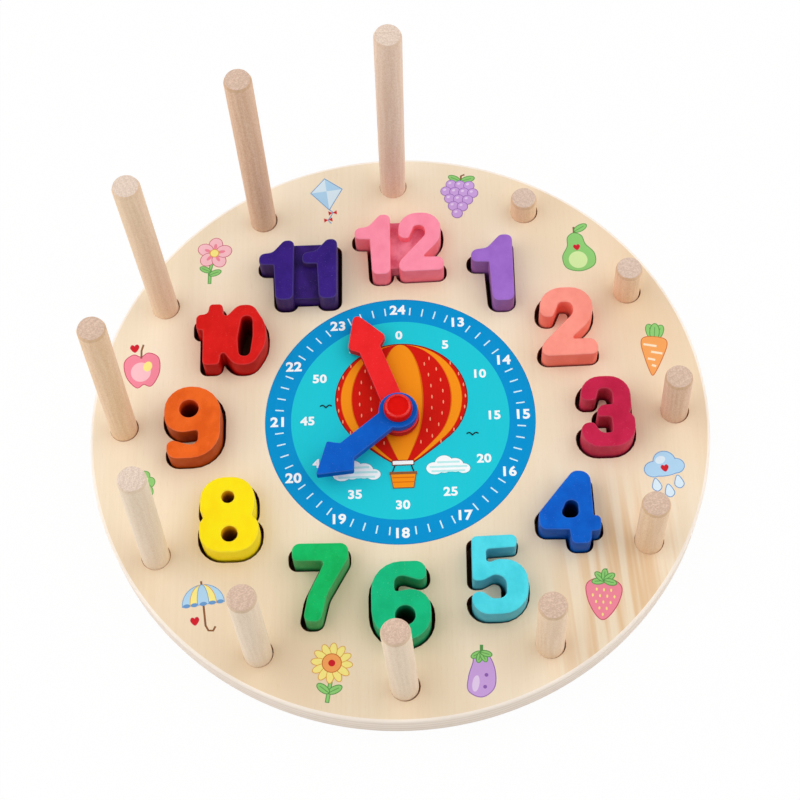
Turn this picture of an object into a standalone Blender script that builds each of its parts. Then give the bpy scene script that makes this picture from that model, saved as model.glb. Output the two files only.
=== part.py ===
"""Wooden clock puzzle: a round board with twelve lift-out numbers, twelve counting posts and two hands.

Metres, +Z up. The origin is the middle of the board's underside, and twelve o'clock points along +Y.
Lengths in this file are written in millimetres and turned to metres where the geometry is made.
"""
import math

import bmesh
import bpy
from mathutils import Matrix, Vector

MM = 0.001

# Driving sizes, in millimetres
BOARD_DIAMETER = 280.0
BASE_THICKNESS = 4.8          # plain lower sheet
BOARD_THICKNESS = 14.0        # both sheets together
GAP = 0.3                     # between pieces that rest on or in each other
BOARD_EDGE = 1.0              # softened top and bottom edges of the board
PLAY = 1.3                    # room round a number in its recess

POST_DIAMETER = 11.6          # 12 mm dowel, sanded
POST_HOLE = 12.5
POST_CIRCLE = 124.5           # radius on which the posts stand
POST_BASE_LENGTH = 2.4        # part of a post above the board that no ring uses
RING_PITCH = 10.1             # one counting ring; post N carries N of them
POST_EDGE = 0.6

NUMBER_RISE = 10.3            # top face of a number above the board
WEB_RISE = 6.3                # lower bridge between the two figures of 11 and 12
CURVE_STEP = 15.0             # degrees of turn for each facet of a rounded corner
HOLE_FACETS = 24
BOARD_FACETS = 96
RIVET_FACETS = 32
CUTTER_REACH = 2.0            # how far a cutter stands out of what it cuts

HAND_THICKNESS = 4.2
HAND_HOLE = 5.4
WASHER_DIAMETER = 14.0
WASHER_THICKNESS = 1.0
PIN_DIAMETER = 4.6
PIN_HOLE = 5.2
CAP_DIAMETER = 12.8
CAP_HEIGHT = 4.6
CAP_ROUND = 1.3               # rounding of the cap's rim
CAP_ROUND_STEPS = 4
RIVET_BORE = 2.8
RIVET_STUB = 2.2
RIVET_STUB_TOP = 13.0
RIVET_HEAD = 12.6
RIVET_HEAD_HEIGHT = 1.4
COUNTERBORE = 14.0
COUNTERBORE_DEPTH = 2.0

# Levels worked out from the sizes above
TOP_SHEET_BOTTOM = BASE_THICKNESS + GAP
TOP = BOARD_THICKNESS
PIECE_BOTTOM = BASE_THICKNESS + GAP
WASHER_BOTTOM = TOP + GAP
MINUTE_BOTTOM = WASHER_BOTTOM + WASHER_THICKNESS + GAP
HOUR_BOTTOM = MINUTE_BOTTOM + HAND_THICKNESS + GAP
CAP_BOTTOM = HOUR_BOTTOM + HAND_THICKNESS + GAP

# Figures. Each corner is (x, y, radius of its rounding), clockwise, round the figure's own middle.
ONE = [(4.1, 17.6, 3.4), (9.8, 17.6, 3.0), (9.5, -17.8, 3.4), (-0.5, -17.8, 3.4), (-1.5, 3.0, 0.6),
       (-9.6, 3.3, 2.6), (-9.9, 9.8, 3.4), (-2.2, 10.6, 5.0)]
TWO = [(-12.7, 17.5, 10.4), (11.6, 17.5, 10.0), (11.6, 1.0, 12.0), (0.6, -9.4, 0.8), (12.9, -9.4, 4.0),
       (12.6, -17.6, 3.0), (-12.7, -18.0, 3.4), (-12.7, -12.0, 6.0), (2.6, 3.9, 4.0), (2.5, 9.8, 3.4),
       (-3.6, 9.8, 2.4), (-6.9, 2.1, 1.8), (-12.7, 2.1, 3.6)]
THREE = [(-11.3, 17.2, 9.0), (11.0, 17.2, 9.4), (10.9, 1.2, 2.0), (9.7, -0.8, 0.6), (12.0, -3.6, 3.6),
         (12.0, -17.8, 10.0), (-12.2, -17.8, 8.0), (-12.1, -5.6, 3.8), (-6.2, -5.6, 2.0),
         (-3.4, -10.8, 3.0), (1.8, -10.8, 1.6), (1.8, -3.0, 1.6), (-4.5, -3.0, 1.6), (-4.5, 3.0, 3.8),
         (2.8, 3.0, 1.2), (2.8, 11.0, 3.0), (-3.0, 11.0, 2.2), (-4.9, 5.2, 1.8), (-11.4, 5.2, 2.8)]
FOUR = [(2.6, 17.0, 4.4), (10.1, 16.5, 4.8), (10.4, -4.4, 0.6), (13.4, -4.7, 2.2), (13.4, -11.6, 2.4),
        (8.9, -11.8, 0.6), (8.5, -17.4, 2.6), (0.2, -17.4, 2.6), (-0.5, -10.8, 0.6), (-13.2, -10.4, 3.2),
        (-13.5, -2.7, 3.6)]
FOUR_EYE = [(-0.9, 2.8, 2.4), (3.9, 2.8, 2.8), (3.9, -5.2, 2.8), (-4.9, -5.2, 2.6)]
FIVE = [(-11.4, 17.4, 2.2), (8.7, 17.8, 2.6), (7.7, 11.9, 1.2), (-5.4, 11.3, 1.6), (-5.3, 5.0, 1.4),
        (-0.5, 6.6, 4.0), (12.2, 6.6, 10.0), (12.2, -18.2, 11.6), (-12.2, -18.2, 7.4), (-12.2, -7.9, 2.9),
        (-7.4, -7.9, 2.0), (-3.4, -11.0, 3.0), (2.8, -11.0, 3.4), (2.9, -0.6, 4.4), (-2.6, -0.6, 3.0),
        (-7.2, -3.0, 4.0), (-11.7, -3.0, 2.0)]
SEVEN = [(-12.4, 17.9, 3.4), (12.3, 17.5, 3.6), (12.3, 10.5, 3.4), (3.2, -5.6, 9.0), (0.3, -17.8, 2.8),
         (-7.4, -17.8, 3.0), (-5.2, -5.8, 9.0), (2.2, 9.5, 1.4), (-11.8, 9.7, 2.2)]
EIGHT = [(-12.9, 17.4, 10.4), (11.1, 17.4, 10.2), (11.1, 2.0, 4.0), (9.8, -0.9, 1.0), (13.0, -4.0, 4.8),
         (13.0, -18.0, 9.8), (-13.0, -18.0, 9.8), (-13.0, -4.0, 4.4), (-10.8, -1.2, 1.0), (-12.9, 1.8, 3.4)]
EIGHT_EYES = [(-0.7, 7.9, 2.85), (0.3, -9.5, 3.6)]
NINE = [(-12.6, 17.6, 11.2), (12.9, 17.6, 13.4), (12.9, -17.9, 13.0), (-11.0, -17.9, 4.8),
        (-11.0, -9.1, 2.8), (-7.4, -9.1, 2.4), (-1.5, -11.1, 3.0), (2.9, -11.1, 3.0), (2.9, -4.2, 1.2),
        (-3.0, -5.1, 3.0), (-12.6, -5.1, 8.6)]
NINE_EYES = [(-1.5, 6.5, 4.35)]
TEN = [(-9.9, 15.6, 1.8), (-4.0, 15.5, 1.8), (-3.4, 7.4, 1.5), (3.2, 14.8, 5.2), (10.2, 14.8, 5.2),
       (16.4, 4.0, 13.0), (16.4, -6.5, 13.0), (10.6, -16.4, 6.4), (2.0, -16.4, 6.4), (-4.0, -8.2, 1.2),
       (-5.0, -15.9, 2.2), (-12.6, -15.9, 2.2), (-12.8, 2.2, 0.6), (-15.9, 2.3, 2.0),
       (-16.1, 10.1, 2.4), (-10.8, 10.6, 2.2)]
TEN_EYE = [(5.0, 8.9, 2.5), (9.9, 8.9, 2.5), (10.2, -1.2, 8.0), (8.9, -11.8, 2.7), (3.9, -11.8, 2.7),
           (3.2, -2.2, 8.0)]

# The two-figure numbers set narrower, lower copies of 1 and 2 side by side
ELEVEN_SCALE = (0.84, 0.90)
ELEVEN_OFFSET = 10.1
ELEVEN_WEB = [(-9.0, 14.6, 1.0), (13.0, 14.6, 1.0), (13.0, -13.2, 1.0), (-9.0, -13.2, 1.0)]
TWELVE_ONE_SCALE = (0.86, 0.915)
TWELVE_ONE_PLACE = (-12.0, -0.4)
TWELVE_TWO_SCALE = (0.82, 0.90)
TWELVE_TWO_PLACE = (10.6, 0.4)
TWELVE_WEB = [(-8.0, 12.6, 1.0), (15.5, 12.6, 2.0), (16.0, 3.2, 1.0), (9.0, -4.0, 0.8),
              (9.0, -11.4, 1.0), (-8.0, -11.4, 1.0)]

# Middle of each recess, and how far the loose number lies off it: (x, y, shift x, shift y)
NUMBER_PLACES = {
    1: (44.9, 72.8, 0.6, -0.8), 2: (78.3, 43.3, 0.4, -0.8), 3: (92.8, -3.2, 0.4, -0.4),
    4: (73.3, -48.3, 0.0, -0.8), 5: (40.9, -78.2, 0.7, -0.8), 6: (-0.6, -89.3, 0.0, -0.5),
    7: (-36.1, -79.8, 0.8, -0.4), 8: (-75.1, -46.9, 0.2, -0.4), 9: (-92.7, -1.5, 0.2, -0.8),
    10: (-76.8, 42.6, 0.8, -0.8), 11: (-44.8, 74.7, -0.3, -0.2), 12: (1.7, 87.8, 0.2, -0.8),
}

# Lean of each loose post, in degrees towards +X and towards +Y
POST_LEANS = {
    1: (-0.3, 0.1), 2: (-0.7, -0.6), 3: (-1.7, 1.6), 4: (-0.9, 0.0), 5: (-1.3, -0.7), 6: (-1.6, 3.2),
    7: (0.6, -0.4), 8: (2.1, 0.8), 9: (1.4, 1.0), 10: (-0.7, 0.4), 11: (0.1, -0.1), 12: (0.9, -1.9),
}

# Hands: degrees clockwise from twelve, length to the point where the head's sides would meet, shaft width,
# head half width, head length, hub diameter, and the rounding of the tip and the barbs
MINUTE_HAND = {"turn": 339.8, "length": 56.4, "shaft": 10.0, "half_head": 9.4, "head": 17.0, "hub": 18.6,
               "tip": 2.2, "barb": 2.4}
HOUR_HAND = {"turn": 230.6, "length": 47.9, "shaft": 9.6, "half_head": 9.4, "head": 14.1, "hub": 17.6,
             "tip": 0.8, "barb": 0.9}
BARB_SLOPE = 0.85             # how far a head's barb falls back for each millimetre that it stands out
NECK_ROUND = 0.8              # where the head meets the shaft
HUB_FACETS = 22

WOOD_PALE = (0.84, 0.70, 0.52)
WOOD_EDGE = (0.72, 0.62, 0.50)
WOOD_POST = (0.80, 0.64, 0.47)
NUMBER_COLOURS = {
    1: (0.36, 0.16, 0.63), 2: (1.0, 0.28, 0.21), 3: (0.60, 0.02, 0.08), 4: (0.01, 0.12, 0.63),
    5: (0.08, 0.66, 0.80), 6: (0.02, 0.52, 0.24), 7: (0.01, 0.50, 0.12), 8: (1.0, 0.76, 0.02),
    9: (0.80, 0.14, 0.02), 10: (0.75, 0.02, 0.02), 11: (0.04, 0.01, 0.24), 12: (1.0, 0.28, 0.40),
}
HAND_RED = (0.85, 0.02, 0.02)
HAND_BLUE = (0.01, 0.11, 0.58)
PLASTIC_RED = (0.80, 0.01, 0.01)
PLASTIC_CLEAR = (0.80, 0.80, 0.78)


def clear_scene():
    """Remove whatever objects the scene starts with."""
    for item in list(bpy.data.objects):
        bpy.data.objects.remove(item, do_unlink=True)


def new_collection(name):
    """Add a collection to the scene."""
    group = bpy.data.collections.new(name)
    bpy.context.scene.collection.children.link(group)
    return group


def material(name, colour, roughness):
    """Make a plain Principled material."""
    finish = bpy.data.materials.new(name)
    finish.use_nodes = True
    shader = finish.node_tree.nodes["Principled BSDF"]
    shader.inputs["Base Color"].default_value = (*colour, 1.0)
    shader.inputs["Roughness"].default_value = roughness
    shader.inputs["Metallic"].default_value = 0.0
    finish.diffuse_color = (*colour, 1.0)
    return finish


def shade(item, finish):
    """Give an object its material and smooth round surfaces with crisp edges."""
    mesh = item.data
    mesh.materials.clear()
    mesh.materials.append(finish)
    mesh.shade_smooth()
    mesh.set_sharp_from_angle(angle=math.radians(35.0))


def rounded(corners):
    """Turn a closed list of corners with radii into points, with an arc at each corner."""
    points = []
    for index, (x, y, radius) in enumerate(corners):
        corner = Vector((x, y))
        before = (Vector(corners[index - 1][:2]) - corner).normalized()
        after = (Vector(corners[(index + 1) % len(corners)][:2]) - corner).normalized()
        half = before.angle(after) / 2.0
        middle = corner + (before + after).normalized() * radius / math.sin(half)
        start = corner + before * radius / math.tan(half) - middle
        end = corner + after * radius / math.tan(half) - middle
        turn = math.atan2(start.cross(end), start.dot(end))
        facets = max(1, round(abs(turn) / math.radians(CURVE_STEP)))
        for step in range(facets + 1):
            points.append(middle + start @ Matrix.Rotation(-turn * step / facets, 2))
    return points


def grown(corners, by):
    """Move a clockwise outline outward, keeping its corners round."""
    result = []
    for index, (x, y, radius) in enumerate(corners):
        corner = Vector((x, y))
        arriving = (corner - Vector(corners[index - 1][:2])).normalized()
        leaving = (Vector(corners[(index + 1) % len(corners)][:2]) - corner).normalized()
        first = Vector((-arriving.y, arriving.x))
        second = Vector((-leaving.y, leaving.x))
        moved = corner + (first + second) * by / (1.0 + first.dot(second))
        convex = arriving.cross(leaving) < 0.0
        result.append((moved.x, moved.y, radius + by if convex else max(radius - by, GAP)))
    return result


def resized(corners, scale, place):
    """Scale an outline in each direction and move it."""
    mean = (scale[0] + scale[1]) / 2.0
    return [(x * scale[0] + place[0], y * scale[1] + place[1], radius * mean)
            for x, y, radius in corners]


def turned_half(corners):
    """Turn an outline by half a turn about its middle."""
    return [(-x, -y, radius) for x, y, radius in corners]


def circle_points(x, y, radius):
    """Points of a circle."""
    return [Vector((x, y)) + Matrix.Rotation(math.tau * step / HOLE_FACETS, 2) @ Vector((radius, 0.0))
            for step in range(HOLE_FACETS)]


def slab(name, outlines, bottom, top, group):
    """Extrude closed outlines, the inner ones being holes, into a mesh object between two levels."""
    curve = bpy.data.curves.new(name, "CURVE")
    curve.dimensions = "2D"
    curve.fill_mode = "BOTH"
    curve.extrude = (top - bottom) / 2.0 * MM
    for outline in outlines:
        spline = curve.splines.new("POLY")
        spline.points.add(len(outline) - 1)
        for point, place in zip(spline.points, outline):
            point.co = (place.x * MM, place.y * MM, 0.0, 1.0)
        spline.use_cyclic_u = True
    flat = bpy.data.objects.new(name, curve)
    flat.location.z = (top + bottom) / 2.0 * MM
    group.objects.link(flat)
    return as_mesh(flat, group)


def as_mesh(item, group):
    """Replace an object by a mesh object of its evaluated shape, with its seams welded."""
    bpy.context.view_layer.update()
    evaluated = item.evaluated_get(bpy.context.evaluated_depsgraph_get())
    mesh = bpy.data.meshes.new_from_object(evaluated)
    work = bmesh.new()
    work.from_mesh(mesh)
    bmesh.ops.remove_doubles(work, verts=work.verts, dist=1e-6)
    bmesh.ops.recalc_face_normals(work, faces=work.faces)
    work.to_mesh(mesh)
    work.free()
    name = item.name
    place = item.matrix_world.copy()
    bpy.data.objects.remove(item, do_unlink=True)
    solid = bpy.data.objects.new(name, mesh)
    solid.matrix_world = place
    group.objects.link(solid)
    return solid


def turned(name, profile, facets, group):
    """Turn a profile of (radius, height) about Z; a profile that leaves the axis closes on itself."""
    mesh = bpy.data.meshes.new(name)
    count = len(profile)
    closed = all(radius > 0.0 for radius, _ in profile)
    edges = [(index, index + 1) for index in range(count - 1)]
    if closed:
        edges.append((count - 1, 0))
    mesh.from_pydata([(radius * MM, 0.0, height * MM) for radius, height in profile], edges, [])
    item = bpy.data.objects.new(name, mesh)
    group.objects.link(item)
    screw = item.modifiers.new("turning", "SCREW")
    screw.steps = facets
    screw.render_steps = facets
    screw.use_merge_vertices = True
    screw.merge_threshold = 1e-6
    return as_mesh(item, group)


def cut(item, cutters):
    """Cut every object of a collection out of an item."""
    boolean = item.modifiers.new("cuts", "BOOLEAN")
    boolean.operation = "DIFFERENCE"
    boolean.operand_type = "COLLECTION"
    boolean.collection = cutters
    boolean.solver = "EXACT"


def join(item, other, group):
    """Join another solid to an item and keep the result as one mesh."""
    boolean = item.modifiers.new("join", "BOOLEAN")
    boolean.operation = "UNION"
    boolean.object = other
    boolean.solver = "EXACT"
    joined = as_mesh(item, group)
    bpy.data.objects.remove(other, do_unlink=True)
    return joined


def as_cutter(item):
    """Mark an object as a cutter."""
    item.hide_render = True
    item.display_type = "WIRE"


def eleven_figures():
    """Outlines of the two ones of 11."""
    return [resized(ONE, ELEVEN_SCALE, (side * ELEVEN_OFFSET, 0.0)) for side in (-1.0, 1.0)]


def twelve_figures():
    """Outlines of the one and the two of 12."""
    return [resized(ONE, TWELVE_ONE_SCALE, TWELVE_ONE_PLACE),
            resized(TWO, TWELVE_TWO_SCALE, TWELVE_TWO_PLACE)]


FIGURES = {1: [ONE], 2: [TWO], 3: [THREE], 4: [FOUR], 5: [FIVE], 6: [turned_half(NINE)], 7: [SEVEN],
           8: [EIGHT], 9: [NINE], 10: [TEN], 11: eleven_figures(), 12: twelve_figures()}
WEBS = {11: ELEVEN_WEB, 12: TWELVE_WEB}
EYES = {4: [rounded(FOUR_EYE)], 6: [circle_points(-x, -y, r) for x, y, r in NINE_EYES],
        8: [circle_points(x, y, r) for x, y, r in EIGHT_EYES],
        9: [circle_points(x, y, r) for x, y, r in NINE_EYES], 10: [rounded(TEN_EYE)]}


def build_number(hour, group):
    """One lift-out number, lying loose in its recess."""
    name = f"number_{hour:02d}"
    finish = material(f"painted_wood_{hour:02d}", NUMBER_COLOURS[hour], 0.55)
    solids = []
    for figure in FIGURES[hour]:
        outlines = [rounded(figure)] + EYES.get(hour, [])
        solids.append(slab(name, outlines, PIECE_BOTTOM, TOP + NUMBER_RISE, group))
    number = solids[0]
    if hour in WEBS:
        web = slab("web", [rounded(WEBS[hour])], PIECE_BOTTOM, TOP + WEB_RISE, group)
        number = join(join(number, web, group), solids[1], group)
    number.name = name
    number.data.name = name
    x, y, shift_x, shift_y = NUMBER_PLACES[hour]
    number.location.x = (x + shift_x) * MM
    number.location.y = (y + shift_y) * MM
    shade(number, finish)
    return number


def post_place(hour):
    """Where post N stands, in millimetres."""
    angle = math.radians(90.0 - 30.0 * hour)
    return POST_CIRCLE * math.cos(angle), POST_CIRCLE * math.sin(angle)


def build_post(hour, finish, group):
    """One counting post, standing loose in its hole; it turns about the middle of the hole's depth."""
    hold = (TOP - PIECE_BOTTOM) / 2.0
    lean_x, lean_y = (math.radians(angle) for angle in POST_LEANS[hour])
    dip = POST_DIAMETER / 2.0 * math.sin(math.hypot(lean_x, lean_y))
    bottom = dip - hold
    top = hold + POST_BASE_LENGTH + RING_PITCH * hour
    radius = POST_DIAMETER / 2.0
    profile = [(0.0, top), (radius - POST_EDGE, top), (radius, top - POST_EDGE),
               (radius, bottom + POST_EDGE), (radius - POST_EDGE, bottom), (0.0, bottom)]
    post = turned(f"post_{hour:02d}", profile, HOLE_FACETS, group)
    x, y = post_place(hour)
    post.location = (x * MM, y * MM, (PIECE_BOTTOM + hold) * MM)
    post.rotation_euler = (-lean_y, lean_x, 0.0)
    shade(post, finish)
    return post


def build_base_board(finish, group):
    """Plain lower sheet, with the pin's hole and a counterbore for the rivet's head underneath."""
    outer = BOARD_DIAMETER / 2.0
    profile = [(PIN_HOLE / 2.0, BASE_THICKNESS), (outer, BASE_THICKNESS), (outer, BOARD_EDGE),
               (outer - BOARD_EDGE, 0.0), (COUNTERBORE / 2.0, 0.0), (COUNTERBORE / 2.0, COUNTERBORE_DEPTH),
               (PIN_HOLE / 2.0, COUNTERBORE_DEPTH)]
    board = turned("base_board", profile, BOARD_FACETS, group)
    shade(board, finish)
    return board


def build_top_board(finish, group, cutters):
    """Upper sheet with the twelve number recesses and the twelve post holes cut right through."""
    outer = BOARD_DIAMETER / 2.0
    profile = [(PIN_HOLE / 2.0, TOP), (outer - BOARD_EDGE, TOP), (outer, TOP - BOARD_EDGE),
               (outer, TOP_SHEET_BOTTOM), (PIN_HOLE / 2.0, TOP_SHEET_BOTTOM)]
    board = turned("top_board", profile, BOARD_FACETS, group)
    low, high = TOP_SHEET_BOTTOM - CUTTER_REACH, TOP + CUTTER_REACH
    for hour in range(1, 13):
        x, y, _, _ = NUMBER_PLACES[hour]
        shapes = FIGURES[hour] + ([WEBS[hour]] if hour in WEBS else [])
        for index, shape in enumerate(shapes):
            cutter = slab(f"recess_{hour:02d}_{index}", [rounded(grown(shape, PLAY))], low, high, cutters)
            cutter.location.x = x * MM
            cutter.location.y = y * MM
            as_cutter(cutter)
        post_x, post_y = post_place(hour)
        hole = slab(f"post_hole_{hour:02d}", [circle_points(post_x, post_y, POST_HOLE / 2.0)],
                    low, high, cutters)
        as_cutter(hole)
    cut(board, cutters)
    board = as_mesh(board, group)
    shade(board, finish)
    return board


def hand_outline(size):
    """Outline of a hand that points along +Y: a round hub, a straight shaft and a kite-shaped head."""
    half = size["shaft"] / 2.0
    radius = size["hub"] / 2.0
    root = math.sqrt(radius * radius - half * half)
    shoulder = size["length"] - size["head"]
    wide, barb = size["half_head"], size["barb"]
    neck = shoulder - (wide - half) * BARB_SLOPE
    start = math.atan2(root, half)
    sweep = math.pi + 2.0 * start
    turns = [start - sweep * step / HUB_FACETS for step in range(HUB_FACETS + 1)]
    hub = [Vector((radius * math.cos(turn), radius * math.sin(turn))) for turn in turns]
    corners = [(-half, 0.0, NECK_ROUND), (-half, neck, NECK_ROUND), (-wide, shoulder, barb),
               (0.0, size["length"], size["tip"]), (wide, shoulder, barb), (half, neck, NECK_ROUND),
               (half, 0.0, NECK_ROUND)]
    head = [point for point in rounded(corners) if point.y > root]
    return hub + head


def build_hand(name, size, bottom, finish, group):
    """One clock hand, with its origin on the axis that it turns on."""
    outlines = [hand_outline(size), circle_points(0.0, 0.0, HAND_HOLE / 2.0)]
    hand = slab(name, outlines, 0.0, HAND_THICKNESS, group)
    hand.location.z += bottom * MM
    hand.rotation_euler = (0.0, 0.0, -math.radians(size["turn"]))
    shade(hand, finish)
    return hand


def build_washer(finish, group):
    """Thin washer that keeps the lower hand off the printed dial."""
    outer, inner = WASHER_DIAMETER / 2.0, PIN_HOLE / 2.0
    high, low = WASHER_BOTTOM + WASHER_THICKNESS, WASHER_BOTTOM
    profile = [(inner, high), (outer, high), (outer, low), (inner, low)]
    washer = turned("spacer_washer", profile, RIVET_FACETS, group)
    shade(washer, finish)
    return washer


def build_hub_pin(finish, group):
    """Upper half of the plastic rivet: a flat-topped cap on a hollow shank that the hands turn on."""
    radius, top = CAP_DIAMETER / 2.0, CAP_BOTTOM + CAP_HEIGHT
    shank, bore = PIN_DIAMETER / 2.0, RIVET_BORE / 2.0
    shank_end = RIVET_HEAD_HEIGHT + 2.0 * GAP
    bore_top = TOP + GAP
    profile = [(0.0, top)]
    for step in range(CAP_ROUND_STEPS + 1):
        angle = math.pi / 2.0 * (1.0 - step / CAP_ROUND_STEPS)
        profile.append((radius - CAP_ROUND * (1.0 - math.cos(angle)),
                        top - CAP_ROUND * (1.0 - math.sin(angle))))
    profile += [(radius, CAP_BOTTOM), (shank, CAP_BOTTOM), (shank, shank_end), (bore, shank_end),
                (bore, bore_top), (0.0, bore_top)]
    pin = turned("hub_pin", profile, RIVET_FACETS, group)
    shade(pin, finish)
    return pin


def build_retainer(finish, group):
    """Lower half of the rivet: a flat head in the counterbore and a stub that plugs into the shank."""
    radius, stub = RIVET_HEAD / 2.0, RIVET_STUB / 2.0
    low = GAP
    high = low + RIVET_HEAD_HEIGHT
    profile = [(0.0, RIVET_STUB_TOP), (stub, RIVET_STUB_TOP), (stub, high), (radius, high), (radius, low),
               (0.0, low)]
    retainer = turned("pin_retainer", profile, RIVET_FACETS, group)
    shade(retainer, finish)
    return retainer


def main():
    """Build the whole clock puzzle."""
    clear_scene()
    parts = new_collection("clock_puzzle")
    cutters = new_collection("cutters")
    build_base_board(material("birch_sheet_lower", WOOD_EDGE, 0.6), parts)
    build_top_board(material("birch_sheet_upper", WOOD_PALE, 0.5), parts, cutters)
    post_wood = material("beech_dowel", WOOD_POST, 0.6)
    for hour in range(1, 13):
        build_post(hour, post_wood, parts)
        build_number(hour, parts)
    build_washer(material("clear_plastic", PLASTIC_CLEAR, 0.3), parts)
    red_paint = material("red_painted_wood", HAND_RED, 0.45)
    blue_paint = material("blue_painted_wood", HAND_BLUE, 0.45)
    build_hand("minute_hand", MINUTE_HAND, MINUTE_BOTTOM, red_paint, parts)
    build_hand("hour_hand", HOUR_HAND, HOUR_BOTTOM, blue_paint, parts)
    red_plastic = material("red_plastic", PLASTIC_RED, 0.2)
    build_hub_pin(red_plastic, parts)
    build_retainer(red_plastic, parts)


main()
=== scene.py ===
"""Looks of a wooden clock puzzle: a birch board with lift-out numbers, counting posts, a dial and two hands.

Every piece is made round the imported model, in metres, with twelve o'clock along +Y and the origin in the
middle of the board's underside. Sizes in the classes are millimetres, and are turned to metres where a mesh
is made.
"""
import logging
import math
from dataclasses import dataclass, replace
from enum import Enum
from functools import lru_cache

import bmesh
import bpy
from mathutils import Matrix, Vector


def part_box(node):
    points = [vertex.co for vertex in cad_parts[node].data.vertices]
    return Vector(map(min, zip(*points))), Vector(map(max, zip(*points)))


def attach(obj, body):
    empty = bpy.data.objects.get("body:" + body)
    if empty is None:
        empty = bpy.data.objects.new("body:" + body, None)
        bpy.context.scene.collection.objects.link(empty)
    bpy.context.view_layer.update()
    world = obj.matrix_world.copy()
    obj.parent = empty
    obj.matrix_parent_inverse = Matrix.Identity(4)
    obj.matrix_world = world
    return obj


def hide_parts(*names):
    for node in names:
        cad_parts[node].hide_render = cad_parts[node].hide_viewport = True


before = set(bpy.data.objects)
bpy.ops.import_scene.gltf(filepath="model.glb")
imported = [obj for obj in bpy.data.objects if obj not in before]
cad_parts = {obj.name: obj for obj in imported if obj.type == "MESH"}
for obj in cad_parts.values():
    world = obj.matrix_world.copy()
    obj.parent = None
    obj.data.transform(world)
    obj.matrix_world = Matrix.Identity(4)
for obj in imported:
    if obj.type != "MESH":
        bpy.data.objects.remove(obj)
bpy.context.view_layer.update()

MM = 0.001
HOURS = range(1, 13)
BOARD = "board"
WHITE = "FFFFFF"
LOG = logging.getLogger("clock_puzzle")

SHARP_FROM = math.radians(38.0)  # angle between two faces from which their edge stays sharp
FLAT_FROM = 0.9  # upright share of the normal from which a face counts as flat
LEVEL_FROM = 0.9999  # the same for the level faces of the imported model
NARROWEST_MITER = 0.3  # keeps the point of a very sharp corner from running far out
SAME_POINT = 1e-6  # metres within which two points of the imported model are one
SAME_FIGURE_POINT = 1e-7  # the same for the printed figures

Point = tuple[float, float]
Outline = list[Point]
Loop = list[Vector]
Socket = bpy.types.NodeSocket
Span = tuple[float, float]
Triple = tuple[float, float, float]


def linear(code: str) -> tuple[float, float, float, float]:
    """Turn an sRGB hex code into a linear colour with an alpha of 1."""
    channels = [int(code[start:start + 2], 16) / 255.0 for start in (0, 2, 4)]
    return (*[c / 12.92 if c <= 0.04045 else ((c + 0.055) / 1.055) ** 2.4 for c in channels], 1.0)


def set_up(node: bpy.types.Node, inputs: dict) -> bpy.types.Node:
    """Give a shader node its settings and links.

    Args:
        node: The node.
        inputs: Sockets and plain values, by input name or number, or by the name of a node property.

    Returns:
        The same node.
    """
    for name, value in inputs.items():
        if isinstance(value, Socket):
            node.id_data.links.new(value, node.inputs[name])
        elif isinstance(name, int) or name in node.inputs:
            node.inputs[name].default_value = value
        else:
            setattr(node, name, value)
    return node


def add_node(tree: bpy.types.NodeTree, kind: str, inputs: dict) -> bpy.types.Node:
    """Add a shader node of a kind, such as ShaderNodeMath, with its settings and links."""
    return set_up(tree.nodes.new(kind), inputs)


@dataclass(frozen=True)
class Pattern:
    """Noise whose features have a real size along X, Y and Z, and the share of a tint that it lets through.

    The share eases from nothing to its most between two values of the noise. The turn is about Z, in degrees.
    """

    size_mm: Triple
    start: float = 0.3
    end: float = 0.7
    share: float = 1.0
    detail: float = 2.0
    turn: float = 0.0
    roughness: float = 0.55


@dataclass(frozen=True)
class Skin:
    """Surface of a finish: its gloss, how uneven the gloss is, and the strength and depth of its relief."""

    roughness: float
    ior: float
    specular: float
    relief: float = 0.0
    relief_mm: float = 0.0
    uneven: float = 0.0
    uneven_between: Span = (0.3, 0.7)


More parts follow.
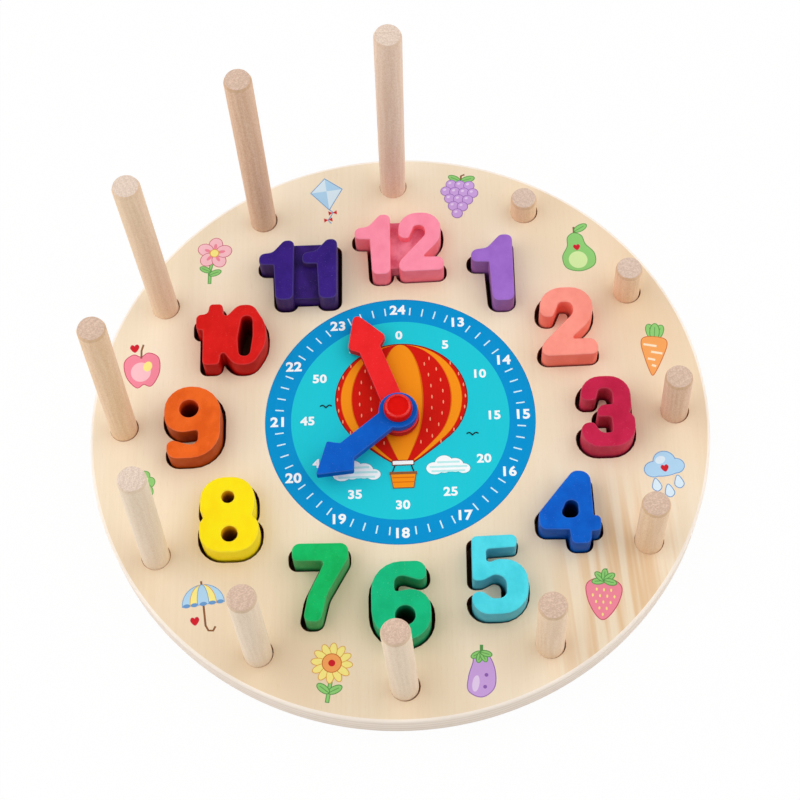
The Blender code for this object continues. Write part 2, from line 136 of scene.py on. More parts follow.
class Shading:
    """A material in the making, with the patterns and layers that finishes share.

    A condition is a value from 0 to 1, or any value with two limits between which it eases from 0 to 1.
    Places are in millimetres.
    """

    def __init__(self, name: str, skin: Skin) -> None:
        """Start a material with one Principled shader.

        Args:
            name: Name of the material.
            skin: Its surface.
        """
        self.material = bpy.data.materials.new(name)
        self.material.use_nodes = True
        self.skin = skin
        self.tree = self.material.node_tree
        self.shader = set_up(self.tree.nodes["Principled BSDF"], {
            "Roughness": skin.roughness, "IOR": skin.ior, "Specular IOR Level": skin.specular})
        self.coordinates = add_node(self.tree, "ShaderNodeTexCoord", {}).outputs
        self.place_mm = add_node(self.tree, "ShaderNodeVectorMath", {
            "operation": "SCALE", 0: self.coordinates["Object"], "Scale": 1.0 / MM}).outputs[0]
        self.axis_mm = add_node(self.tree, "ShaderNodeSeparateXYZ", {0: self.place_mm}).outputs
        self.noises: dict[Pattern, Socket] = {}

    def facing(self) -> Socket:
        """Measure how squarely the surface faces up or down.

        Returns:
            From 0 on a wall to 1 on a flat.
        """
        normal = add_node(self.tree, "ShaderNodeSeparateXYZ", {0: self.coordinates["Normal"]})
        steep = add_node(self.tree, "ShaderNodeMath", {"operation": "ABSOLUTE", 0: normal.outputs["Z"]})
        return steep.outputs[0]

    def noise(self, pattern: Pattern) -> Socket:
        """Draw the noise of a pattern, once for each material.

        Args:
            pattern: The pattern.

        Returns:
            Its noise, from 0 to 1.
        """
        if pattern not in self.noises:
            turned = add_node(self.tree, "ShaderNodeVectorRotate", {
                "rotation_type": "Z_AXIS", "Angle": math.radians(pattern.turn), "Vector": self.place_mm})
            mapped = add_node(self.tree, "ShaderNodeMapping", {
                "Scale": tuple(1.0 / size for size in pattern.size_mm), "Vector": turned.outputs[0]})
            self.noises[pattern] = add_node(self.tree, "ShaderNodeTexNoise", {
                "Scale": 1.0, "Detail": pattern.detail, "Roughness": pattern.roughness,
                "Vector": mapped.outputs[0]}).outputs[0]
        return self.noises[pattern]

    def share(self, most: float, *conditions: Socket | tuple[Socket, float, float]) -> Socket:
        """Share of a tint, which is at its most where every condition is met.

        Args:
            most: The share there.
            conditions: The conditions.

        Returns:
            The share.
        """
        result: Socket | float = most
        for condition in conditions:
            if isinstance(condition, tuple):
                source, start, end = condition
                condition = add_node(self.tree, "ShaderNodeMapRange", {
                    "interpolation_type": "SMOOTHSTEP", "From Min": start, "From Max": end,
                    "Value": source}).outputs[0]
            result = add_node(self.tree, "ShaderNodeMath", {
                "operation": "MULTIPLY", 0: condition, 1: result}).outputs[0]
        return result

    def drawn(self, pattern: Pattern, *conditions: Socket | tuple[Socket, float, float]) -> Socket:
        """Share of a tint that a pattern lets through where further conditions are met."""
        return self.share(pattern.share, (self.noise(pattern), pattern.start, pattern.end), *conditions)

    def total(self, first: Socket, *others: Socket | float) -> Socket:
        """Add up several shares.

        Args:
            first: The first share.
            others: The shares that it is added to.

        Returns:
            Their sum.
        """
        for other in others:
            first = add_node(self.tree, "ShaderNodeMath", {"operation": "ADD", 0: first, 1: other}).outputs[0]
        return first

    def layered(self, base: Socket | str, *coats: tuple[Socket | str, Socket | float],
                blend: str = "MIX") -> Socket:
        """Lay tints over a base colour, one after another.

        Args:
            base: Colour socket or hex code.
            coats: Tint and share of each coat. A tint is a colour socket or a hex code.
            blend: How a tint joins what lies under it.

        Returns:
            The colour.
        """
        for tint, share in coats:
            under, over = (linear(colour) if isinstance(colour, str) else colour for colour in (base, tint))
            base = add_node(self.tree, "ShaderNodeMix", {
                "data_type": "RGBA", "blend_type": blend, 0: share, 6: under, 7: over}).outputs[2]
        return base

    def finished(self, colour: Socket, relief: Pattern, sheen: Pattern | None = None) -> bpy.types.Material:
        """Give the shader its colour, its relief and its uneven gloss.

        Args:
            colour: Colour of the surface.
            relief: Pattern that raises it.
            sheen: Pattern that makes its gloss uneven, if one does.

        Returns:
            The finished material.
        """
        skin = self.skin
        bump = add_node(self.tree, "ShaderNodeBump", {
            "Strength": skin.relief, "Distance": skin.relief_mm * MM, "Height": self.noise(relief)})
        set_up(self.shader, {"Base Color": colour, "Normal": bump.outputs[0]})
        if sheen:
            duller = self.share(skin.uneven, (self.noise(sheen), *skin.uneven_between))
            set_up(self.shader, {"Roughness": self.total(duller, skin.roughness)})
        return self.material


@dataclass(frozen=True)
class BirchVeneer:
    """Rotary-cut birch face veneer, sanded and sealed with a thin clear varnish.

    It is nearly even in tone, with long faint grain lines, fine dark pores, soft warm streaks of heartwood on
    the side of four o'clock and a warmer rim at two o'clock. It is slightly darker towards seven o'clock,
    which is painted shade. Real pores are about 0.1 mm wide, and are drawn wider so that they show.
    """

    name: str = "birch_veneer_varnished"
    pale: str = "FAEAD1"
    shade: str = "ECD5B5"
    heartwood: str = "E5BD8E"
    pore_brown: str = "C59C70"
    grain: Pattern = Pattern((1.3, 55.0, 1.3), 0.3, 0.75, 0.15, detail=3.0)
    cloud: Pattern = Pattern((34.0, 70.0, 34.0), 0.3, 0.7, 0.5, detail=1.0)
    streak: Pattern = Pattern((4.6, 150.0, 4.6), 0.45, 0.66, 0.85, turn=-4.0)
    pore: Pattern = Pattern((0.35, 5.0, 0.35), 0.7, 0.82, 0.12, detail=0.0)
    heart_right_mm: Span = (52.0, 92.0)
    heart_rim_mm: Span = (134.0, 98.0)
    heart_lower_mm: Span = (-12.0, -68.0)
    # Painted shade: the veneer darkens towards seven o'clock.
    dark_lower_mm: Span = (-10.0, -110.0)
    painted_shade_left_mm: Span = (60.0, -60.0)
    painted_shade_share: float = 0.75
    warm_side: Triple = (0.9, 0.43, 0.0)
    warm_mm: Span = (84.0, 136.0)
    warm_share: float = 0.4
    skin: Skin = Skin(roughness=0.52, ior=1.48, specular=0.2, relief=0.12, relief_mm=0.05)

    def build(self) -> bpy.types.Material:
        """Build the material.

        Returns:
            The material.
        """
        art = Shading(self.name, self.skin)
        across, along = art.axis_mm["X"], art.axis_mm["Y"]
        # Painted shade towards seven o'clock, added to the veneer's tone.
        dark = art.share(self.painted_shade_share, (along, *self.dark_lower_mm), (across, *self.painted_shade_left_mm))
        aside = add_node(art.tree, "ShaderNodeVectorMath", {
            "operation": "DOT_PRODUCT", 0: art.place_mm, 1: self.warm_side}).outputs["Value"]
        heart = art.drawn(self.streak, (across, *self.heart_right_mm), (across, *self.heart_rim_mm),
                          (along, *self.heart_lower_mm))
        colour = art.layered(
            self.pale,
            (self.shade, art.total(art.drawn(self.grain), art.drawn(self.cloud), dark)),
            (self.heartwood, art.share(self.warm_share, (aside, *self.warm_mm))),
            (self.heartwood, heart),
            (self.pore_brown, art.drawn(self.pore)))
        return art.finished(colour, self.grain)


@dataclass(frozen=True)
class PlyEdge:
    """Sawn and sanded edge of the two glued plywood sheets, left unvarnished.

    The plies alternate between long grain and paler end grain, with a thin darker glue line where the sheets
    meet, and fibres run round the rim as faint streaks. The rounded top edge is painted a little paler, as
    painted highlight.
    """

    name: str = "birch_ply_sanded_edge"
    long_grain: str = "FAEEE0"
    end_grain: str = "F1E2D4"
    glue: str = "D8C4B4"
    # Painted highlight on the rounded top edge.
    top_edge: str = "FDF1E4"
    ply_mm: float = 1.6
    ply_blend_mm: Span = (0.56, 1.04)
    joint_mm: float = 4.95
    glue_mm: float = 0.12
    glue_share: float = 0.7
    fibres: Pattern = Pattern((16.0, 16.0, 0.45), 0.35, 0.75, 0.3, detail=3.0)
    top_edge_mm: Span = (12.8, 13.6)
    skin: Skin = Skin(roughness=0.68, ior=1.45, specular=0.2, relief=0.25, relief_mm=0.08)

    def build(self) -> bpy.types.Material:
        """Build the material.

        Returns:
            The material.
        """
        art = Shading(self.name, self.skin)
        height = art.axis_mm["Z"]
        plies = add_node(art.tree, "ShaderNodeMath", {"operation": "PINGPONG", 0: height, 1: self.ply_mm})
        joint = add_node(art.tree, "ShaderNodeMath", {
            "operation": "COMPARE", 0: height, 1: self.joint_mm, 2: self.glue_mm})
        colour = art.layered(
            self.long_grain,
            (self.end_grain, art.share(1.0, (plies.outputs[0], *self.ply_blend_mm))),
            (self.glue, art.drawn(self.fibres)),
            (self.glue, art.share(self.glue_share, joint.outputs[0])),
            # Painted highlight: the rounded top edge is paler.
            (self.top_edge, art.share(1.0, (height, *self.top_edge_mm))))
        return art.finished(colour, self.fibres)


@dataclass(frozen=True)
class CutPly:
    """Cut wall of the plywood, with the upright lines that the tool leaves.

    A laser leaves a brown-black char on the walls of the recesses. Their floors are painted dark brown,
    as painted shade of the deep, narrow gaps round the numbers. The post holes are drilled, plain but rough;
    their walls and rounded rims are painted brown, as painted shade of the narrow gap round each post.
    """

    name: str
    deep: str
    light: str
    lines: Pattern = Pattern((0.8, 0.8, 12.0), 0.4, 0.7)
    skin: Skin = Skin(roughness=0.85, ior=1.45, specular=0.1, relief=0.3, relief_mm=0.1)

    def build(self) -> bpy.types.Material:
        """Build the material.

        Returns:
            The material.
        """
        art = Shading(self.name, self.skin)
        return art.finished(art.layered(self.deep, (self.light, art.drawn(self.lines))), self.lines)


@dataclass(frozen=True)
class BeechDowel:
    """Turned beech dowel, sanded and unvarnished.

    Growth rings show as soft stripes along the side and as faint arcs on the sawn ends, which drink in more
    light and look pinker. The side is finely mottled, short brown flecks are the rays of the wood, and the
    rounded edge of the end is a browner band. The pores of the sawn end are drawn as a speckle that is
    coarser than the real one, so that it shows.
    """

    name: str
    pale: str
    ring: str
    end: str
    end_ring: str
    edge_band_share: float
    fleck_brown: str = "BC9678"
    edge_band_brown: str = "C8A27C"
    ring_mm: float = 2.4
    ring_share: float = 0.7
    end_ring_share: float = 0.3
    end_ring_between: Span = (0.2, 0.45)
    pith_mm: Triple = (17.0, 9.0, 0.0)
    waver: Pattern = Pattern((9.0, 9.0, 60.0), 0.0, 1.0, 2.0)
    fibres: Pattern = Pattern((0.7, 0.7, 22.0), 0.3, 0.75, 0.25)
    mottle: Pattern = Pattern((0.55, 0.55, 1.1), 0.3, 0.7, 0.6, detail=1.0)
    flecks: Pattern = Pattern((0.4, 0.4, 1.8), 0.72, 0.82, 0.2, detail=0.0)
    speckle: Pattern = Pattern((0.45, 0.7, 0.45), 0.3, 0.7, 0.778, detail=1.0)
    speckle_least: float = 0.1
    end_between: Span = (0.75, 0.95)
    band_between: tuple[Span, Span] = ((0.15, 0.35), (0.95, 0.75))
    skin: Skin = Skin(roughness=0.62, ior=1.45, specular=0.2, relief=0.1, relief_mm=0.06)

    def build(self) -> bpy.types.Material:
        """Build the material.

        Returns:
            The material.
        """
        art = Shading(self.name, self.skin)
        flat = add_node(art.tree, "ShaderNodeCombineXYZ", {0: art.axis_mm["X"], 1: art.axis_mm["Y"]})
        reach = add_node(art.tree, "ShaderNodeVectorMath", {
            "operation": "DISTANCE", 0: flat.outputs[0], 1: self.pith_mm})
        count = add_node(art.tree, "ShaderNodeMath", {
            "operation": "MULTIPLY_ADD", 0: reach.outputs["Value"], 1: 1.0 / self.ring_mm,
            2: art.drawn(self.waver)})
        rings = add_node(art.tree, "ShaderNodeMath", {
            "operation": "PINGPONG", 0: count.outputs[0], 1: 0.5}).outputs[0]
        tone = art.total(art.drawn(self.fibres), art.drawn(self.mottle), art.share(self.ring_share, rings))
        side = art.layered(self.pale, (self.ring, tone), (self.fleck_brown, art.drawn(self.flecks)))
        cut = art.layered(
            self.end, (self.end_ring, self.speckle_least), (self.end_ring, art.drawn(self.speckle)),
            (self.end_ring, art.share(self.end_ring_share, (rings, *self.end_ring_between))))
        facing = art.facing()
        band = art.share(self.edge_band_share, *((facing, *limits) for limits in self.band_between))
        colour = art.layered(side, (cut, art.share(1.0, (facing, *self.end_between))), (self.edge_band_brown, band))
        return art.finished(colour, self.fibres)


@dataclass(frozen=True)
class SprayedPaint:
    """Water-based paint sprayed on sanded wood and sealed.

    The faces are faintly mottled, with a satin gloss and a fine orange peel. The cut sides show end grain,
    which drinks in more paint and may let a little bare wood show through; their deeper tint is partly that
    and partly painted shade, set for each paint. The softened edges take less paint and carry a thin paler
    line, which is painted highlight. Down a narrow hole the wall darkens to brown with depth, as painted
    shade. Specks of dust are drawn coarser than real ones, so that they show.
    """

    name: str
    colour: str
    deeper: str
    # Tint of the cut sides: end grain's deeper tint and painted shade together.
    side: str = "E7E7E7"
    bare_share: float = 0.0
    # Tint deep down a narrow hole: painted shade.
    deep: str = ""
    deep_mm: Span = (17.3, 22.8)
    bare: str = "DCC09A"
    bare_grain: Pattern = Pattern((1.2, 1.2, 9.0))
    mottle: Pattern = Pattern((7.0, 9.0, 7.0), 0.3, 0.75, 0.85, detail=4.0)
    peel: Pattern = Pattern((0.7, 0.7, 0.7))
    dust: Pattern = Pattern((0.5, 0.5, 0.5), 0.76, 0.86, 0.06, detail=0.0)
    side_between: Span = (0.7, 0.2)
    # Painted highlight on the softened edges.
    edge_highlight_share: float = 0.03
    edge_highlight_between: tuple[Span, Span] = ((0.1, 0.4), (0.99, 0.85))
    skin: Skin = Skin(roughness=0.4, ior=1.5, specular=0.1, relief=0.18, relief_mm=0.04, uneven=0.08)

    def build(self) -> bpy.types.Material:
        """Build the material.

        Returns:
            The material.
        """
        art = Shading(self.name, self.skin)
        facing = art.facing()
        # Painted shade with end grain's deeper tint on the cut sides, deepening down narrow holes.
        side = art.share(1.0, (facing, *self.side_between))
        thin = art.share(2.0 * self.bare_share, side, art.noise(self.bare_grain))
        shallow = art.share(1.0, (art.axis_mm["Z"], *self.deep_mm))
        tint = art.layered(self.deep or self.side, (self.side, shallow))
        # Painted highlight: a thin paler line on the softened edges, where the paint is also thinner.
        edge = art.share(self.edge_highlight_share, *((facing, *limits) for limits in self.edge_highlight_between))
        colour = art.layered(self.colour, (self.deeper, art.drawn(self.mottle)),
                             (WHITE, art.drawn(self.dust)), (self.bare, thin))
        colour = art.layered(colour, (tint, side), blend="MULTIPLY")
        return art.finished(art.layered(colour, (WHITE, edge)), self.peel, self.mottle)


@dataclass(frozen=True)
class PrintedInk:
    """Ink printed flat on the varnished veneer: the wood's grain shows through it very faintly."""

    name: str
    colour: str
    wood: str = "8A6A48"
    grain: Pattern = Pattern((1.3, 55.0, 1.3), 0.35, 0.8, 0.012, detail=3.0)
    skin: Skin = Skin(roughness=0.5, ior=1.48, specular=0.05, relief=0.08, relief_mm=0.05)

    def build(self) -> bpy.types.Material:
        """Build the material.

        Returns:
            The material.
        """
        art = Shading(self.name, self.skin)
        return art.finished(art.layered(self.colour, (self.wood, art.drawn(self.grain))), self.grain)


@dataclass(frozen=True)
class MouldedPlastic:
    """Injection-moulded plastic, slightly uneven where it cooled.

    The tool's polish decides the skin: a polished one mirrors the lamps as a bright line on a rounded edge, a
    textured one shows the plain colour.
    """

    name: str
    colour: str
    deeper: str
    skin: Skin
    cooling: Pattern = Pattern((4.0, 4.0, 4.0))

    def build(self) -> bpy.types.Material:
        """Build the material.

        Returns:
            The material.
        """
        art = Shading(self.name, self.skin)
        colour = art.layered(self.colour, (self.deeper, art.drawn(self.cooling)))
        return art.finished(colour, self.cooling, self.cooling)


def seen_directly(tree: bpy.types.NodeTree) -> Socket:
    """Tell what the camera sees, also in a gloss or through a clear piece, from what lights the object.

    Args:
        tree: Node tree that takes the nodes.

    Returns:
        1 for what is seen, 0 for what lights the object.
    """
    rays = add_node(tree, "ShaderNodeLightPath", {}).outputs
    seen = rays["Is Camera Ray"]
    for kind in ("Is Glossy Ray", "Is Transmission Ray"):
        seen = add_node(tree, "ShaderNodeMath", {"operation": "MAXIMUM", 0: seen, 1: rays[kind]}).outputs[0]
    return seen


@dataclass(frozen=True)
class WhiteTable:
    """Matt white painted table. It is seen white, but for a small share that keeps the object's shadow."""

    name: str = "white_table"
    tone: str = "F8F8F8"
    white_share: float = 0.95
    skin: Skin = Skin(roughness=1.0, ior=1.5, specular=0.0)

    def build(self) -> bpy.types.Material:
        """Build the material.

        Returns:
            The material.
        """
        art = Shading(self.name, self.skin)
        set_up(art.shader, {"Base Color": linear(self.tone)})
        white = add_node(art.tree, "ShaderNodeEmission", {"Color": linear(WHITE), "Strength": 1.0})
        shown = add_node(art.tree, "ShaderNodeMixShader", {
            0: art.share(self.white_share, seen_directly(art.tree)), 1: art.shader.outputs[0],
            2: white.outputs[0]})
        set_up(art.tree.nodes["Material Output"], {"Surface": shown.outputs[0]})
        return art.material


Finish = BirchVeneer | PlyEdge | CutPly | BeechDowel | SprayedPaint | PrintedInk | MouldedPlastic | WhiteTable


@lru_cache(maxsize=None)
def material_for(finish: Finish) -> bpy.types.Material:
    """Build a finish once and keep it for every piece that wears it."""
    return finish.build()


LASER_WALL = CutPly("ply_laser_char", "4A1709", "602611")
# Painted shade: the recess floors are dark brown for the shade of the deep gaps.
FLOOR_PAINTED_SHADE = CutPly("ply_floor_painted_shade", "5E402B", "755239", Pattern((2.5, 26.0, 2.5), 0.4, 0.7))
# Painted shade: drilled hole walls and rims are brown for the shade of the gap round each post.
DRILLED_WALL_PAINTED_SHADE = CutPly("ply_drilled_painted_shade", "A06C48", "C29266")
POLISHED = Skin(roughness=0.14, ior=1.54, specular=0.32, relief=0.05, relief_mm=0.08, uneven=0.1)
TEXTURED = replace(POLISHED, roughness=0.5, specular=0.06)
SILKY = replace(POLISHED, roughness=0.3, specular=0.25)
RED_ABS = MouldedPlastic("abs_polished_red", "E4120A", "DE1008", POLISHED)
RED_ABS_MATT = MouldedPlastic("abs_textured_red", "E00C04", "DA0A03", TEXTURED)
MILKY_NYLON = MouldedPlastic("nylon_milky", "E8E6DE", "D8D6CC", SILKY)


class NumberPaint(Enum):
    """Paint of each number.

    The values are its hour, its colour, the deeper tone of its mottling, the tint that the cut sides multiply
    it by, which is end grain's deeper tint and painted shade together, and the share of bare wood that
    shows through there.
    """

    PURPLE = (1, "A36FCF", "9462C0", "EBE2CE", 0.0)
    CORAL = (2, "FF9B8B", "F68C7C", "FFDDD6", 0.0)
    CRIMSON = (3, "CA224C", "B7153D", "FBECFE", 0.05)
    BLUE = (4, "0164D0", "0053BC", "CFD7D7", 0.0)
    CYAN = (5, "54DFEF", "3FCCDD", "F1D6E0", 0.04)
    GREEN = (6, "11BD81", "0AAE74", "D1D8D0", 0.03)
    LEAF_GREEN = (7, "11BD66", "08A753", "E0DEE5", 0.1)
    YELLOW = (8, "FFE90F", "FFDE06", "FFFFFF", 0.02)
    ORANGE = (9, "F36B21", "DD560F", "C0BBBA", 0.0)
    RED = (10, "DF1C18", "CB0F0B", "DEB9B9", 0.0)
    INDIGO = (11, "381D80", "29126B", "EEDFD7", 0.04)
    PINK = (12, "FF95AE", "F8869F", "FFDDD6", 0.0)

    @property
    def slot(self) -> str:
        """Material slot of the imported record."""
        return f"{self.name.lower()}_paint"

    @property
    def finish(self) -> SprayedPaint:
        """The paint as a finish."""
        return SprayedPaint(f"sprayed_{self.name.lower()}", *self.value[1:])

    @property
    def bored_finish(self) -> SprayedPaint:
        """The same paint in a narrow hole, darkening down the wall as painted shade."""
        return SprayedPaint(f"sprayed_{self.name.lower()}_hole", *self.value[1:3], "EAC6C8", deep="A27A7C")

    @property
    def web_finish(self) -> SprayedPaint:
        """The same paint in the low web between two digits, darkened there as painted shade."""
        shaded_web = ShadedWebPaint.__members__.get(self.name)
        return shaded_web.finish if shaded_web else self.finish


class ShadedWebPaint(Enum):
    """Darkened colour and deeper tone of a paint in a two-digit number's low web: painted shade."""

    INDIGO = ("3C1F7E", "240F50")
    PINK = ("F48CA2", "CC4463")

    @property
    def finish(self) -> SprayedPaint:
        """The web's paint, darkened as painted shade, as a finish."""
        mottle = replace(SprayedPaint.mottle, share=0.9)
        return SprayedPaint(f"sprayed_{self.name.lower()}_web", *self.value, mottle=mottle)


class DowelTone(Enum):
    """Tones of the dowels, each given to a group of posts: the pale side and its deeper rings."""

    PALE = ("F6E3CC", "EAD4BA")
    SANDY = ("F6DDC2", "E9CBAB")
    WARM = ("F6D9BA", "E8C49F")
    ROSY = ("F3DCCA", "E4C6AE")
    DARK = ("ECCEB5", "DAB395")


class SawnEnd(Enum):
    """Tones of the sawn ends, as pale and deep colours, and the share of the browner band on their edge."""

    PINKISH = ("E4C9B5", "C6A691", 0.5)
    SANDY = ("E9D1C0", "CCB09E", 0.4)
    PALE = ("EFDBCB", "D2BAA8", 0.2)


class Ink(Enum):
    """Inks of the prints."""

    RING_BLUE = "0495D5"
    DISC_BLUE = "20CBDB"
    RIM_BLUE = "0A78B8"
    WHITE = "FAFDFF"
    TICK = "D8F6FF"
    SCARLET = "D4180E"
    SCARLET_DEEP = "7A2418"
    FLECK = "FF9C7A"
    TANGERINE = "FA9418"
    TANGERINE_DEEP = "DE6E10"
    TEAL = "3CB8C4"
    TEAL_PALE = "BFF0F0"
    BLACK = "1A1414"
    LILAC = "CFA6E4"
    LILAC_PALE = "E8D2F4"
    LILAC_DEEP = "9264B4"
    LEAF = "92D078"
    LEAF_PALE = "D6EFA8"
    LEAF_DEEP = "5A9A50"
    CREAM = "FCE8C8"
    APRICOT = "F8A860"
    APRICOT_DEEP = "D07038"
    SKY = "B2D8F4"
    SKY_PALE = "DCEEFA"
    SKY_DEEP = "6C9CD0"
    ROSE = "F48CA0"
    ROSE_PALE = "FBC4CC"
    ROSE_DEEP = "C84C68"
    BERRY = "D22430"
    LEMON = "FCEC8C"
    LEMON_DEEP = "E0A040"
    BARK = "8C5C3C"

    @property
    def deep(self) -> "Ink":
        """The deeper tone of the ink, for the line round a patch of it."""
        return Ink[f"{self.name}_DEEP"]

    @property
    def finish(self) -> PrintedInk:
        """The ink as a finish."""
        return PrintedInk(f"ink_{self.name.lower()}", self.value)


def signed_area(loop: Loop) -> float:
    """Area of a closed outline, positive when it runs anticlockwise."""
    return sum(a.x * b.y - b.x * a.y for a, b in zip(loop, loop[1:] + loop[:1])) / 2.0


def level_loops(node: str) -> dict[float, list[Loop]]:
    """Find the outlines of a CAD node's upward flats.

    Args:
        node: Name of the CAD node.

    Returns:
        For each height, its closed outlines, with the material on their left.
    """
    mesh = bmesh.new()
    mesh.from_mesh(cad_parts[node].data)
    bmesh.ops.remove_doubles(mesh, verts=mesh.verts, dist=SAME_POINT)
    # A dict keeps the faces in the mesh's own order, so the outlines start at the same points in each run.
    flats = dict.fromkeys(face for face in mesh.faces if face.normal.z > LEVEL_FROM)
    following: dict[float, dict] = {}
    for face in flats:
        level = round(face.calc_center_median().z / MM, 2)
        for corner in face.loops:
            if corner.link_loop_radial_next.face not in flats:
                following.setdefault(level, {})[corner.vert] = corner.link_loop_next.vert
    result: dict[float, list[Loop]] = {}
    for level, step in following.items():
        while step:
            start, vert = step.popitem()
            loop = [start.co.xy.copy()]
            while vert != start:
                loop.append(vert.co.xy.copy())
                vert = step.pop(vert)
            result.setdefault(level, []).append(loop)
    mesh.free()
    return result


def circle(x: float, y: float, radius: float, facets: int) -> Loop:
    """Points of an anticlockwise circle, in the units that it is given in."""
    turns = [math.tau * step / facets for step in range(facets)]
    return [Vector((x + radius * math.cos(turn), y + radius * math.sin(turn))) for turn in turns]


def miters(loop: Loop) -> Loop:
    """Find the way that each point of an outline goes when the outline moves into the material.

    Args:
        loop: The outline, with the material on its left.

    Returns:
        For each point, its move for one unit of offset.
    """
    result = []
    for index, point in enumerate(loop):
        arriving = (point - loop[index - 1]).normalized()
        leaving = (loop[(index + 1) % len(loop)] - point).normalized()
        first, second = Vector((-arriving.y, arriving.x)), Vector((-leaving.y, leaving.x))
        result.append((first + second) / max(1.0 + first.dot(second), NARROWEST_MITER))
    return result


@dataclass(frozen=True)
class EdgeRound:
    """Rounding of a slab's upper and lower edges along one outline, and the material number of its wall."""

    upper_mm: float = 0.0
    lower_mm: float = 0.0
    wall: int = 0
    steps: int = 4
    support: float = 0.35

    def rings(self, bottom: float, top: float) -> list[Point]:
        """Offsets and heights of the wall's rings, from the lower face to the upper one.

        Args:
            bottom: Height of the lower face, in metres.
            top: Height of the upper face, in metres.

        Returns:
            Pairs of an offset into the material and a height. The ring beside each face keeps it flat.
        """
        low, high = self.lower_mm * MM, self.upper_mm * MM
        turns = [math.pi / 2.0 * step / self.steps for step in range(self.steps)]
        curve = [(1.0 - math.sin(turn), 1.0 - math.cos(turn)) for turn in turns]
        rings = [(0.0, bottom + low), (0.0, top - high)]
        if low:
            under = [(low * (1.0 + self.support), bottom)]
            rings = under + [(low * inward, bottom + low * rise) for inward, rise in curve] + rings
        if high:
            rings += [(high * inward, top - high * drop) for inward, drop in reversed(curve)]
            rings += [(high * (1.0 + self.support), top)]
        return rings


def add_slab(work: bmesh.types.BMesh, loops: list[Loop], bottom: float, top: float,
             rounds: list[EdgeRound], face: int = 0) -> None:
    """Add a closed slab with rounded edges to a mesh in the making.

    Args:
        work: Mesh that takes the slab.
        loops: Outlines in metres, with the material on their left.
        bottom: Height of the lower face, in metres.
        top: Height of the upper face, in metres.
        rounds: Rounding of each outline.
        face: Material number of the flat faces.
    """
    lids: tuple[list, list] = ([], [])
    for loop, edge in zip(loops, rounds):
        moves = miters(loop)
        rings = [[work.verts.new((*(point + move * offset), height)) for point, move in zip(loop, moves)]
                 for offset, height in edge.rings(bottom, top)]
        count = len(loop)
        for lower, upper in zip(rings, rings[1:]):
            for index in range(count):
                after = (index + 1) % count
                wall = work.faces.new((lower[index], lower[after], upper[after], upper[index]))
                wall.material_index = edge.wall
                wall.smooth = True
        for lid, ring in zip(lids, (rings[0], rings[-1])):
            lid += [work.edges.get((ring[index], ring[(index + 1) % count])) for index in range(count)]
    for lid, normal in zip(lids, ((0.0, 0.0, -1.0), (0.0, 0.0, 1.0))):
        made = bmesh.ops.triangle_fill(work, use_beauty=True, edges=lid, normal=normal)["geom"]
        for item in made:
            if isinstance(item, bmesh.types.BMFace):
                item.material_index = face
                item.smooth = True
                if item.normal.z * normal[2] < 0.0:
                    item.normal_flip()


def place_in_scene(name: str, data: bpy.types.ID) -> bpy.types.Object:
    """Put a mesh, lamp, camera or text into the scene.

    Args:
        name: Name of the object.
        data: What it holds.

    Returns:
        The object.
    """
    item = bpy.data.objects.new(name, data)
    bpy.context.scene.collection.objects.link(item)
    return item


def as_object(name: str, work: bmesh.types.BMesh, finishes: list[Finish]) -> bpy.types.Object:
    """Turn a mesh in the making into an object with its materials.

    Args:
        name: Name of the object.
        work: The mesh, which is freed.
        finishes: Finishes, in the order of the material numbers.

    Returns:
        The object, in the scene.
    """
    mesh = bpy.data.meshes.new(name)
    work.to_mesh(mesh)
    work.free()
    for finish in finishes:
        mesh.materials.append(material_for(finish))
    mesh.set_sharp_from_angle(angle=SHARP_FROM)
    return place_in_scene(name, mesh)


def revolved(profile: list[Point], facets: int) -> bmesh.types.BMesh:
    """Turn a profile about Z.

    Args:
        profile: Radii and heights in millimetres, from the top down the outer side. A profile that keeps off
            the axis closes on itself.
        facets: Steps of a full turn.

    Returns:
        The closed mesh.
    """
    work = bmesh.new()
    rings = []
    for radius, height in profile:
        points = circle(0.0, 0.0, radius * MM, facets) if radius else [Vector((0.0, 0.0))]
        rings.append([work.verts.new((*point, height * MM)) for point in points])
    closed = all(radius for radius, _ in profile)
    for upper, lower in zip(rings, rings[1:] + (rings[:1] if closed else [])):
        for step in range(facets):
            after = (step + 1) % facets
            corners = [upper[step % len(upper)], lower[step % len(lower)],
                       lower[after % len(lower)], upper[after % len(upper)]]
            work.faces.new(list(dict.fromkeys(corners))).smooth = True
    bmesh.ops.recalc_face_normals(work, faces=work.faces)
    return work


def quarter(x: float, y: float, wide: float, start: float = 0.0, steps: int = 5,
            tall: float | None = None) -> list[Point]:
    """Points of a quarter turn, clockwise from a start angle.

    Args:
        x: Middle, away from the axis.
        y: Middle, upwards.
        wide: Radius across.
        start: Angle of the first point, in degrees.
        steps: Stretches of the turn.
        tall: Radius upwards, if it is another one.

    Returns:
        The points.
    """
    turns = [math.radians(start - 90.0 * step / steps) for step in range(steps + 1)]
    return [(x + wide * math.cos(turn), y + (tall or wide) * math.sin(turn)) for turn in turns]


def round_extent(node: str) -> Triple:
    """Radius, foot and top of a round CAD node on the hands' axis, in millimetres."""
    low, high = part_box(node)
    return high.x / MM, low.z / MM, high.z / MM


def settle(item: bpy.types.Object, body: str, slot: str, *nodes: str) -> None:
    """Let a piece ride on its body, stand for its CAD nodes, and report it.

    Args:
        item: The piece.
        body: CAD body that carries it.
        slot: Material slot of the record; not used.
        nodes: CAD nodes that it replaces.
    """
    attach(item, body)
    if nodes:
        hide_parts(*nodes)
    LOG.info("%s rides on %s and stands for %s", item.name, body, ", ".join(nodes) or "no node")


